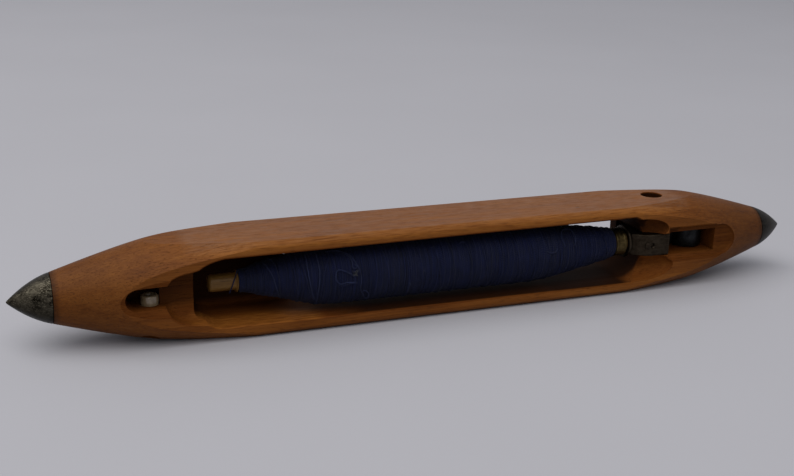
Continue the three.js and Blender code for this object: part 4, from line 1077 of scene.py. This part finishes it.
def clean_copy(node, name, edge, *finishes):
    """A copy of a solid's mesh with its flat faces joined and its edges rounded."""
    source = frame["nodes"][node]
    mesh = source.data.copy()
    mesh.name = name
    mesh.transform(source.matrix_world)
    mesh.materials.clear()
    for finish in finishes:
        mesh.materials.append(finish)
    shape = bmesh.new()
    shape.from_mesh(mesh)
    bmesh.ops.remove_doubles(shape, verts=shape.verts, dist=1e-7)
    bmesh.ops.dissolve_limit(shape, angle_limit=FLAT_ANGLE, verts=shape.verts, edges=shape.edges)
    inner = [e for e in shape.edges if len(e.link_faces) == 2]
    sharp = [e for e in inner if e.calc_face_angle(0) > BEVELLED_ANGLE]
    how = {"segments": 2, "profile": 0.5, "affect": "EDGES", "clamp_overlap": True}
    bmesh.ops.bevel(shape, geom=sharp, offset=edge * MM, **how)
    shape.to_mesh(mesh)
    shape.free()
    return placed(name, mesh)


strip = clean_copy("tongue_spring", "spring_strip", SPRING_EDGE, spring_steel)
spring = finished(strip, "shuttle", "spring_steel", "tongue_spring")
HIDDEN_PIECES = {
    "spring_screw": dark_steel, "spindle": dark_steel, "grip_spring": spring_steel, "grip_rivet": dark_steel,
}
for node, finish in HIDDEN_PIECES.items():
    solid = frame["nodes"][node]
    solid.data.materials.clear()
    solid.data.materials.append(finish)
print("spring:", len(spring.data.polygons), "faces")

# %% [markdown]
# The pirn is a slim turned quill. Its free end is rounded, a thin collar holds the thread back from
# it, and at the butt it carries a brass ferrule, a groove and a ring. The bore is not shown, because
# the spindle fills it and the free end is closed.

# %% The pirn
pirn_low, pirn_high = (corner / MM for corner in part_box("pirn_barrel"))
ferrule_low, ferrule_high = (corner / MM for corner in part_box("pirn_ferrule"))
ring_low, ring_high = (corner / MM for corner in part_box("pirn_butt_ring"))
PIRN_SIDES = 72
PIRN_RADIUS, PIRN_ROUND = 4.2, 1.2
COLLAR_RADIUS, COLLAR_WIDTH = 5.4, 0.7
YARN_START, YARN_END = 104, ferrule_low.x + HALF_LENGTH - 0.3
BARREL_END_RADIUS, GROOVE_RADIUS, GROOVE_LENGTH = 5.6, 6.2, 2.4
FERRULE_WALL, FERRULE_BEAD, RING_CROWN = 0.7, 0.55, 0.7
FERRULE_RADIUS = (ferrule_high.z - ferrule_low.z) / 2
RING_RADIUS = (ring_high.z - ring_low.z) / 2
SPINDLE_ROOM = 3.8


def quill():
    tip, butt, collar = pirn_low.x, pirn_high.x, along(YARN_START) - 0.3
    groove = butt - GROOVE_LENGTH
    profile = [(tip, 0), (tip, PIRN_RADIUS - PIRN_ROUND - 0.4), (tip + 0.1, PIRN_RADIUS - PIRN_ROUND)]
    bend = tip + PIRN_ROUND + 0.1
    profile += [(bend - c, PIRN_RADIUS - PIRN_ROUND + s) for s, c in rounding(PIRN_ROUND, 1)]
    profile += [(collar - COLLAR_WIDTH - 0.5, PIRN_RADIUS), (collar - COLLAR_WIDTH - 0.05, PIRN_RADIUS + 0.4)]
    profile += [(collar - COLLAR_WIDTH, COLLAR_RADIUS - 0.3), (collar - COLLAR_WIDTH + 0.3, COLLAR_RADIUS)]
    profile += [(collar - 0.3, COLLAR_RADIUS), (collar, COLLAR_RADIUS - 0.3), (collar, PIRN_RADIUS)]
    profile += [(ferrule_low.x, BARREL_END_RADIUS), (ferrule_low.x, FERRULE_RADIUS - 1)]
    profile += [(groove, FERRULE_RADIUS - 1), (groove, GROOVE_RADIUS), (butt, GROOVE_RADIUS)]
    profile += [(butt, SPINDLE_ROOM), (tip + 6, SPINDLE_ROOM - 0.8), (tip + 4, 0)]
    made = turned("quill", profile, PIRN_Y, MORTISE_Z, PIRN_SIDES, pirn_wood)
    return finished(made, "pirn", "pirn_wood", "pirn_barrel")


def hoop(name, section, finish, name_of_slot, node):
    """A ring of any section round the pirn; the section is a closed list of (x, radius)."""
    made = turned(name, [*section, section[0]], PIRN_Y, MORTISE_Z, PIRN_SIDES, finish)
    return finished(made, "pirn", name_of_slot, node)


def ferrule():
    low, high, outer, inner = ferrule_low.x, ferrule_high.x, FERRULE_RADIUS, FERRULE_RADIUS - FERRULE_WALL
    bead = [(FERRULE_BEAD - c, outer - FERRULE_BEAD + s) for s, c in rounding(FERRULE_BEAD)]
    end = [(0, inner), *bead, (1.5, outer - 0.05), (1.8, outer - 0.25)]
    section = [(low + x, r) for x, r in end] + [(high - x, r) for x, r in end[::-1]]
    return hoop("brass_ferrule", section, old_brass, "brass", "pirn_ferrule")


def butt_ring():
    low, high = ring_low.x, ring_high.x
    middle, half = (low + high) / 2, (high - low) / 2
    rise = [(half * c, RING_RADIUS - RING_CROWN + RING_CROWN * s) for s, c in rounding(1)]
    crown = [(middle - x, r) for x, r in rise] + [(middle + x, r) for x, r in rise[-2::-1]]
    section = [(low, GROOVE_RADIUS + 0.1), *crown, (high, GROOVE_RADIUS + 0.1)]
    return hoop("ring", section, dark_steel, "point_steel", "pirn_butt_ring")


pirn_pieces = [quill(), ferrule(), butt_ring()]
print("pirn:", ", ".join(f"{p.name} {len(p.data.polygons)}" for p in pirn_pieces))

# %% [markdown]
# The thread package is what the eye goes to, so it is wound, not drawn. A Geometry Nodes tree lays
# a thread round the package: it takes the share of the way along, turns it into an angle and a
# distance, reads the package's radius there from a curve, and sweeps a small round section along
# the path. The same tree winds three layers: a close one, a quicker one that runs back over it, and
# a few stray turns on top. The package is soft, so where it is thick it sags a little towards the
# wall that the shuttle lies on.

# %% Shape of the package
PACKAGE_SHAPE = (
    (104.0, 5.0), (109.0, 6.0), (113.5, 7.5), (122.0, 9.1), (127.0, 10.3), (131.0, 11.4), (136.0, 12.7),
    (142.0, 13.8), (150.0, 14.4), (256.0, 14.4), (267.0, 13.6), (278.0, 12.0), (290.0, 10.2), (300.0, 8.6),
    (307.0, 7.3),
)
CURVE_RADIUS = 16.0  # the radius that the shape's curve counts as 1
THREAD_RADIUS = 0.3
TWIST_LENGTH = 1.1
SAG_FROM = 7.5
SAG_DOWN, SAG_IN = 0.2, 0.11


def package_radius(distance):
    """Radius of the package at a distance from the near point's end, in millimetres."""
    for (d0, r0), (d1, r1) in zip(PACKAGE_SHAPE, PACKAGE_SHAPE[1:]):
        if distance <= d1:
            share = max(0.0, (distance - d0) / (d1 - d0))
            return r0 + (r1 - r0) * share
    return PACKAGE_SHAPE[-1][1]


def on_package(distance, degrees, lift):
    """A place on the package; 90 degrees is up and 180 degrees is out of the mouth."""
    radius = package_radius(distance)
    sag = max(0.0, radius - SAG_FROM)
    turn = math.radians(degrees)
    y = PIRN_Y + SAG_IN * sag + (radius + lift) * math.cos(turn)
    z = MORTISE_Z - SAG_DOWN * sag + (radius + lift) * math.sin(turn)
    return (along(distance), y, z)


# %% Finish of the thread
def cotton(name, deep, middle, pale):
    """Dyed cotton with a fine twist and a dry sheen. A low shade attribute darkens it: it varies at
    random on the wound turns and strands, and it is painted shade on the bare core under them and at the
    fibres' roots.
    """
    finish, tree, shader = new_finish(name, Roughness=0.75, Specular_IOR_Level=0.15, Sheen_Weight=0.05,
                                      Sheen_Roughness=0.5)
    shade = add(tree, "ShaderNodeAttribute", attribute_name="shade").outputs["Fac"]
    length = add(tree, "ShaderNodeAttribute", attribute_name="length_mm").outputs["Fac"]
    around = add(tree, "ShaderNodeAttribute", attribute_name="around").outputs["Fac"]
    cloud = noise(tree, place_mm(tree, (0.12, 0.2, 0.2)), detail=3)
    lint = spread(tree, noise(tree, place_mm(tree, (1.1, 1.1, 1.1)), detail=3), 0.66, 0.78)
    tone = plus(tree, times(tree, shade, 0.65), times(tree, cloud, 0.5))
    colour = mixed(tree, spread(tree, tone, 0.25, 0.95), tint(*deep), tint(*middle))
    colour = mixed(tree, times(tree, lint, 0.35), colour, tint(*pale))
    phase = plus(tree, times(tree, length, 2 * math.pi / TWIST_LENGTH), times(tree, around, 4 * math.pi))
    ply = sum_of(tree, "SINE", phase)
    lead(tree, shader, Base_Color=colour, Normal=bumped(tree, ply, 0.06))
    return finish


navy = cotton("navy_thread", (0.001, 0.0019, 0.0098), (0.0045, 0.0085, 0.047), (0.042, 0.05, 0.095))
faded = cotton("faded_thread", (0.005, 0.0075, 0.026), (0.023, 0.031, 0.084), (0.08, 0.09, 0.14))
dust = cotton("pale_lint", (0.07, 0.07, 0.075), (0.17, 0.172, 0.185), (0.28, 0.28, 0.29))

# %% Nodes that the trees for thread share
def new_tree(name, inputs):
    """An empty Geometry Nodes tree with named inputs; gives the tree and its input sockets."""
    tree = bpy.data.node_groups.new(name, "GeometryNodeTree")
    for label, kind, value in inputs:
        socket = tree.interface.new_socket(label, in_out="INPUT", socket_type="NodeSocket" + kind)
        if value is not None:
            socket.default_value = value
    tree.interface.new_socket("Geometry", in_out="OUTPUT", socket_type="NodeSocketGeometry")
    return tree, add(tree, "NodeGroupInput").outputs


def stored(tree, geometry, name, value):
    sockets = {"Geometry": geometry, "Name": name, "Value": value}
    return add(tree, "GeometryNodeStoreNamedAttribute", sockets, data_type="FLOAT", domain="POINT").outputs[0]


def swept(tree, path, radius_mm, sides, finish):
    """Sweeps a round section along a path and hands the result out as a plain finished mesh."""
    sockets = {"Resolution": sides, "Radius": times(tree, radius_mm, MM)}
    section = add(tree, "GeometryNodeCurvePrimitiveCircle", sockets).outputs[0]
    section = stored(tree, section, "around", add(tree, "GeometryNodeSplineParameter").outputs["Factor"])
    sockets = {"Curve": path, "Profile Curve": section, "Fill Caps": True}
    body = add(tree, "GeometryNodeCurveToMesh", sockets).outputs[0]
    body = add(tree, "GeometryNodeSetShadeSmooth", {"Geometry": body, "Shade Smooth": True}).outputs[0]
    body = add(tree, "GeometryNodeRealizeInstances", {"Geometry": body}).outputs[0]
    body = add(tree, "GeometryNodeSetMaterial", {"Geometry": body, "Material": finish}).outputs[0]
    add(tree, "NodeGroupOutput", {"Geometry": body})


def from_nodes(name, tree, carrier=None, **values):
    """Runs a node tree on a given object or an empty one, with inputs filled by name, and keeps its mesh."""
    made = carrier or placed(name, bpy.data.meshes.new(name))
    step = made.modifiers.new("nodes", "NODES")
    step.node_group = tree
    for item in tree.interface.items_tree:
        if item.item_type == "SOCKET" and item.in_out == "INPUT" and item.name in values:
            step[item.identifier] = values[item.name]
    plain = flattened(made)
    bpy.data.objects.remove(made)
    return placed(name, plain)


def triangles(piece):
    return sum(len(face.vertices) - 2 for face in piece.data.polygons)


# %% Winding tree
def new_winding_tree():
    tree, given = new_tree("winding", (
        ("Start", "Float", 104.0), ("End", "Float", 300.0), ("Turns", "Float", 100.0),
        ("Steps per Turn", "Int", 32), ("Thread Radius", "Float", THREAD_RADIUS), ("Lift", "Float", 0.0),
        ("Sway", "Float", 0.3), ("Seed", "Float", 0.0), ("Sides", "Int", 5), ("Finish", "Material", None)))
    turns = sum_of(tree, "ABSOLUTE", given["Turns"])
    count = plus(tree, times(tree, turns, given["Steps per Turn"]), 1.0)
    line = add(tree, "GeometryNodeCurvePrimitiveLine", {"End": (1, 0, 0)}).outputs[0]
    fine = add(tree, "GeometryNodeResampleCurve", {"Curve": line, "Count": count}, mode="COUNT").outputs[0]
    share = add(tree, "GeometryNodeSplineParameter").outputs["Factor"]
    angle = times(tree, times(tree, share, given["Turns"]), 2 * math.pi)
    turn_number = times(tree, share, turns)
    path = add(tree, "ShaderNodeCombineXYZ", {"X": turn_number, "Y": given["Seed"]}).outputs[0]
    wander = minus(tree, noise(tree, path, 0.9, 2.0), 0.5)
    place = add(tree, "ShaderNodeMapRange", {"Value": share, 3: given["Start"], 4: given["End"]}).outputs[0]
    place = plus(tree, place, times(tree, wander, given["Sway"]))
    first, last = PACKAGE_SHAPE[0][0], PACKAGE_SHAPE[-1][0]
    reading = add(tree, "ShaderNodeMapRange", {"Value": place, 1: first, 2: last}).outputs[0]
    shape = add(tree, "ShaderNodeFloatCurve", {"Value": reading})
    curve = shape.mapping.curves[0]
    spots = [((d - first) / (last - first), r / CURVE_RADIUS) for d, r in PACKAGE_SHAPE]
    curve.points[0].location, curve.points[-1].location = spots[0], spots[-1]
    for spot in spots[1:-1]:
        curve.points.new(*spot)
    for spot in curve.points:
        spot.handle_type = "VECTOR"
    shape.mapping.update()
    bare = times(tree, shape.outputs[0], CURVE_RADIUS)
    sag = sum_of(tree, "MAXIMUM", minus(tree, bare, SAG_FROM), 0.0)
    slack = times(tree, minus(tree, noise(tree, path, 0.37, 1.0), 0.5), 0.5)
    radius = plus(tree, plus(tree, bare, given["Lift"]), slack)
    middle_y = plus(tree, times(tree, sag, SAG_IN), PIRN_Y)
    middle_z = plus(tree, times(tree, sag, -SAG_DOWN), MORTISE_Z)
    spot = add(tree, "ShaderNodeCombineXYZ", {
        "X": minus(tree, place, HALF_LENGTH),
        "Y": plus(tree, times(tree, sum_of(tree, "COSINE", angle), radius), middle_y),
        "Z": plus(tree, times(tree, sum_of(tree, "SINE", angle), radius), middle_z),
    }).outputs[0]
    in_metres = scaled(tree, spot, MM)
    wound = add(tree, "GeometryNodeSetPosition", {"Geometry": fine, "Position": in_metres}).outputs[0]
    wound = stored(tree, wound, "shade", noise(tree, path, 2.3, 1.0))
    wound = stored(tree, wound, "length_mm", times(tree, turn_number, 2 * math.pi * 12))
    swept(tree, wound, given["Thread Radius"], given["Sides"], given["Finish"])
    return tree


winding_tree = new_winding_tree()
print("winding tree:", len(winding_tree.nodes), "nodes")

# %% [markdown]
# The close layer touches itself turn by turn. The second layer runs back at a steeper lay, and the
# third is the few turns that wandered. Under them lies a plain tube, so no gap shows the pirn.

# %% The wound layers
def package_core():
    """A plain tube under the turns, which reaches a little way into the pirn's wood."""
    steps, sides = 60, 64
    first, last = PACKAGE_SHAPE[0][0], YARN_END
    places = [first + (last - first) * i / steps for i in range(steps + 1)]
    rings = [[on_package(d, 360 * k / sides, -0.3) for k in range(sides)] for d in places]
    for d, r in ((last, BARREL_END_RADIUS - 0.4), (first, PIRN_RADIUS - 0.2)):
        rings.append(round_about(along(d), PIRN_Y, MORTISE_Z, r, sides))
    # Painted shade: the core has no shade attribute, so it takes the thread's deepest colour and shows dark
    # in the gaps between turns.
    return stacked("package_core", [*rings, rings[0]], navy, capped=False)


LAYER_INPUTS = ("Start", "End", "Turns", "Steps per Turn", "Lift", "Sway", "Seed")
LAYERS = {
    "close": (104.3, 306.2, 352.0, 30, 0.0, 0.9, 3.0),
    "back": (305.5, 112.0, 66.0, 36, 0.34, 5.0, 11.0),
    "stray": (118.0, 303.0, 21.0, 48, 0.6, 14.0, 29.0),
}
wound = []
for name, values in LAYERS.items():
    wound.append(from_nodes(f"thread_{name}", winding_tree, Finish=navy, **dict(zip(LAYER_INPUTS, values))))
core = package_core()
for piece in wound:
    print(piece.name, triangles(piece), "triangles")


def joined(name, pieces):
    """Joins plain meshes into one piece."""
    with bpy.context.temp_override(active_object=pieces[0], selected_editable_objects=pieces):
        bpy.ops.object.join()
    pieces[0].name = name
    return pieces[0]


package = joined("thread_package", [core, *wound])
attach(package, "pirn")
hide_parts("yarn_winding", "yarn_core")
print("package:", triangles(package), "triangles")

# %% [markdown]
# On top lie the loose ends that make it a used package: a wide loop, a fan of pulled strands, a
# small tangle with lint in it, and the thread's end, which hangs over the wooden nose. Each one is
# a short route of listed places on the package, rounded into a curve and given a small wobble.

# %% Strand tree
def new_strand_tree():
    tree, given = new_tree("strand", (
        ("Geometry", "Geometry", None), ("Step", "Float", 0.5), ("Wobble", "Float", 0.5),
        ("Wobble Size", "Float", 0.25), ("Seed", "Float", 0.0), ("Thread Radius", "Float", 0.26),
        ("Sides", "Int", 5), ("Finish", "Material", None)))
    path = add(tree, "GeometryNodeMeshToCurve", {"Mesh": given["Geometry"]}).outputs[0]
    path = add(tree, "GeometryNodeCurveSplineType", {"Curve": path}, spline_type="CATMULL_ROM").outputs[0]
    path = add(tree, "GeometryNodeSetSplineResolution", {"Geometry": path, "Resolution": 12}).outputs[0]
    step = times(tree, given["Step"], MM)
    path = add(tree, "GeometryNodeResampleCurve", {"Curve": path, "Length": step}, mode="LENGTH").outputs[0]
    at = add(tree, "GeometryNodeInputPosition").outputs[0]
    at = scaled(tree, at, 1 / MM)
    shifted = add(tree, "ShaderNodeCombineXYZ", dict.fromkeys("XYZ", given["Seed"])).outputs[0]
    at = vector(tree, "ADD", at, shifted)
    sockets = {"Vector": at, "Scale": given["Wobble Size"], "Detail": 2.0}
    wobble = add(tree, "ShaderNodeTexNoise", sockets).outputs["Color"]
    wobble = vector(tree, "SUBTRACT", wobble, (0.5, 0.5, 0.5))
    reach = times(tree, given["Wobble"], 2 * MM)
    wobble = scaled(tree, wobble, reach)
    path = add(tree, "GeometryNodeSetPosition", {"Geometry": path, "Offset": wobble}).outputs[0]
    share = add(tree, "GeometryNodeSplineParameter").outputs
    path = stored(tree, path, "shade", noise(tree, at, 0.4, 1.0))
    path = stored(tree, path, "length_mm", times(tree, share["Length"], 1 / MM))
    swept(tree, path, given["Thread Radius"], given["Sides"], given["Finish"])
    return tree


strand_tree = new_strand_tree()

# %% Routes of the loose strands
WIDE_LOOP = (
    (146, 115), (151, 116), (154.2, 122), (156.8, 129), (158.5, 141), (160, 154), (161, 168), (161.2, 181),
    (161, 195),
)
LIGHT_TURN = ((116, 100), (117, 125), (119, 160), (121, 200), (123, 235))
FAN = (
    ((133, 118), (133.5, 145), (134.5, 172), (137, 205), (141, 240)),
    ((136, 112), (135.6, 140), (135.8, 172), (138, 206), (141.5, 240)),
    ((147, 125), (144, 150), (142.3, 173), (141.5, 205), (142, 242)),
    ((141, 118), (141, 146), (140.4, 174), (140.2, 210), (141, 244)),
)
TANGLE = (
    ((157.8, 172), (156, 165), (152.8, 159), (149.5, 157), (148.5, 167), (149, 176), (150.8, 182), (154, 181),
     (158.8, 182)),
    ((150, 183), (151.8, 186), (153.5, 184), (157.2, 183), (159.5, 184)),
    ((154.5, 125), (157, 135), (157.5, 148), (157, 153), (157.8, 156), (159, 156), (159.5, 151),
     (158.5, 149)),
)
LOW_LOOP = ((161.2, 196), (162.2, 206), (163.8, 218), (166, 225), (165.5, 210), (163.8, 202), (162.5, 202))
BITS = (
    ((215, 127), (216.5, 125), (218.2, 129)),
    ((193.5, 173), (194.6, 176)),
    ((199.5, 131), (201, 129.5)),
    ((186.5, 196), (187.2, 201)),
    ((262, 162), (264.5, 166), (267, 164), (268, 158)),
)
RIGHT_LOOP = ((273, 158), (272, 138), (273.5, 120), (276.5, 112), (279.5, 118), (280.5, 138), (279, 156))
PALE_STRANDS = (LIGHT_TURN, WIDE_LOOP, FAN[1], FAN[3], TANGLE[0], TANGLE[2], LOW_LOOP, RIGHT_LOOP, *BITS)
NAVY_STRANDS = (FAN[0], FAN[2], TANGLE[1])
STRAND_LIFT = 1.0
HEAVY = {"Thread Radius": 0.3}
NOSE_ROUTES = (
    ((103.6, 108, 5.9), (102.8, 128, 4.9), (101.9, 150, 4.6), (100.9, 180, 4.6), (100.1, 210, 4.8),
     (99.5, 236, 5.7)),
    ((104.8, 90, 5.7), (104.3, 130, 5.6), (104.0, 175, 5.6), (104.5, 225, 5.8), (105.5, 270, 5.9)),
)


def route_mesh(name, routes):
    """Lines in millimetres as a mesh of edges, which the strand tree rounds."""
    points, edges = [], []
    for route in routes:
        edges += [(len(points) + i, len(points) + i + 1) for i in range(len(route) - 1)]
        points += [Vector(p) * MM for p in route]
    mesh = bpy.data.meshes.new(name)
    mesh.from_pydata(points, edges, [])
    return placed(name, mesh)


def raised_route(route):
    """A route on the package, which leaves the surface in its middle and meets it at both ends."""
    last = len(route) - 1
    lifts = [STRAND_LIFT * (0.55 + 0.45 * math.sin(math.pi * i / last)) for i in range(last + 1)]
    return [on_package(d, a, lift) for (d, a), lift in zip(route, lifts)]


def nose_route(route):
    """A route round the wooden nose, given as (distance, degrees, radius)."""
    turns = [(d, math.radians(a), r) for d, a, r in route]
    return [(along(d), PIRN_Y + r * math.cos(t), MORTISE_Z + r * math.sin(t)) for d, t, r in turns]


def strands(name, finish, routes, **values):
    return from_nodes(name, strand_tree, route_mesh(name, routes), Finish=finish, **values)


loose = [
    strands("pale_strands", faded, [raised_route(r) for r in PALE_STRANDS], Seed=4.0),
    strands("navy_strands", navy, [raised_route(r) for r in NAVY_STRANDS], Seed=9.0, **HEAVY),
    strands("nose_strands", navy, [nose_route(r) for r in NOSE_ROUTES], Seed=2.0, Wobble=0.2, **HEAVY),
]
print("strands:", [triangles(piece) for piece in loose])

# %% [markdown]
# Cotton is never clean-edged. A last tree scatters short curled fibres over a surface: few of them
# over the whole package, and a dense pale tuft where lint has caught in the tangle.

# %% Fibre tree
def new_fibre_tree():
    tree, given = new_tree("fibres", (
        ("Geometry", "Geometry", None), ("Density", "Float", 20000.0), ("Length", "Float", 2.0),
        ("Curl", "Float", 0.8), ("Seed", "Int", 1), ("Fibre Radius", "Float", 0.035),
        ("Finish", "Material", None)))
    sockets = {"Mesh": given["Geometry"], "Density": given["Density"], "Seed": given["Seed"]}
    spread_out = add(tree, "GeometryNodeDistributePointsOnFaces", sockets, distribute_method="RANDOM").outputs
    line = add(tree, "GeometryNodeCurvePrimitiveLine", {"End": (0, 0, MM)}).outputs[0]
    line = add(tree, "GeometryNodeResampleCurve", {"Curve": line, "Count": 7}, mode="COUNT").outputs[0]
    sockets = {0: (-1.2, -1.2, -3.1), 1: (1.2, 1.2, 3.1), 8: given["Seed"]}
    turn = add(tree, "FunctionNodeRandomValue", sockets, data_type="FLOAT_VECTOR").outputs[0]
    sockets = {0: spread_out["Rotation"], 1: turn}
    way = add(tree, "FunctionNodeRotateRotation", sockets, rotation_space="LOCAL").outputs[0]
    sockets = {2: 0.4, 3: 1.0, 8: given["Seed"]}
    size = add(tree, "FunctionNodeRandomValue", sockets, data_type="FLOAT").outputs[1]
    size = times(tree, size, given["Length"])
    put = {"Points": spread_out["Points"], "Instance": line, "Rotation": way, "Scale": size}
    hairs = add(tree, "GeometryNodeInstanceOnPoints", put).outputs[0]
    hairs = add(tree, "GeometryNodeRealizeInstances", {"Geometry": hairs}).outputs[0]
    at = add(tree, "GeometryNodeInputPosition").outputs[0]
    at = scaled(tree, at, 1 / MM)
    bend = add(tree, "ShaderNodeTexNoise", {"Vector": at, "Scale": 0.7, "Detail": 1.0}).outputs["Color"]
    bend = vector(tree, "SUBTRACT", bend, (0.5, 0.5, 0.5))
    share = add(tree, "GeometryNodeSplineParameter").outputs["Factor"]
    reach = times(tree, times(tree, given["Curl"], 4 * MM), share)
    bend = scaled(tree, bend, reach)
    hairs = add(tree, "GeometryNodeSetPosition", {"Geometry": hairs, "Offset": bend}).outputs[0]
    # Painted shade: each fibre is darkest at its root, where it meets the package, and paler towards its tip.
    hairs = stored(tree, hairs, "shade", share)
    hairs = stored(tree, hairs, "length_mm", 0.0)
    swept(tree, hairs, given["Fibre Radius"], 3, given["Finish"])
    return tree


fibre_tree = new_fibre_tree()

# %% Fuzz and lint
LINT_PLACE = (158.4, 165)
LINT_RADIUS = 0.5
FUZZ_DENSITY, LINT_DENSITY = 6e4, 3e7  # fibres per square metre


def lint_seed():
    """A small blob on the tangle that the pale tuft grows from."""
    blob = bmesh.new()
    bmesh.ops.create_icosphere(blob, subdivisions=2, radius=LINT_RADIUS * MM)
    blob.transform(Matrix.Translation(Vector(on_package(*LINT_PLACE, STRAND_LIFT)) * MM))
    return from_bmesh("lint", blob)


def fibres(name, carrier, finish, **values):
    return from_nodes(name, fibre_tree, carrier, Finish=finish, **values)


fuzz = [
    fibres("blue_fuzz", package_core(), faded, Density=FUZZ_DENSITY, Length=1.7, Seed=5),
    fibres("lint_tuft", lint_seed(), dust, Density=LINT_DENSITY, Length=1.5, Seed=8),
]
print("fibres:", [triangles(piece) for piece in fuzz])
loose_threads = joined("loose_threads", [*loose, *fuzz])
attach(loose_threads, "pirn")
print("loose threads:", triangles(loose_threads), "triangles")
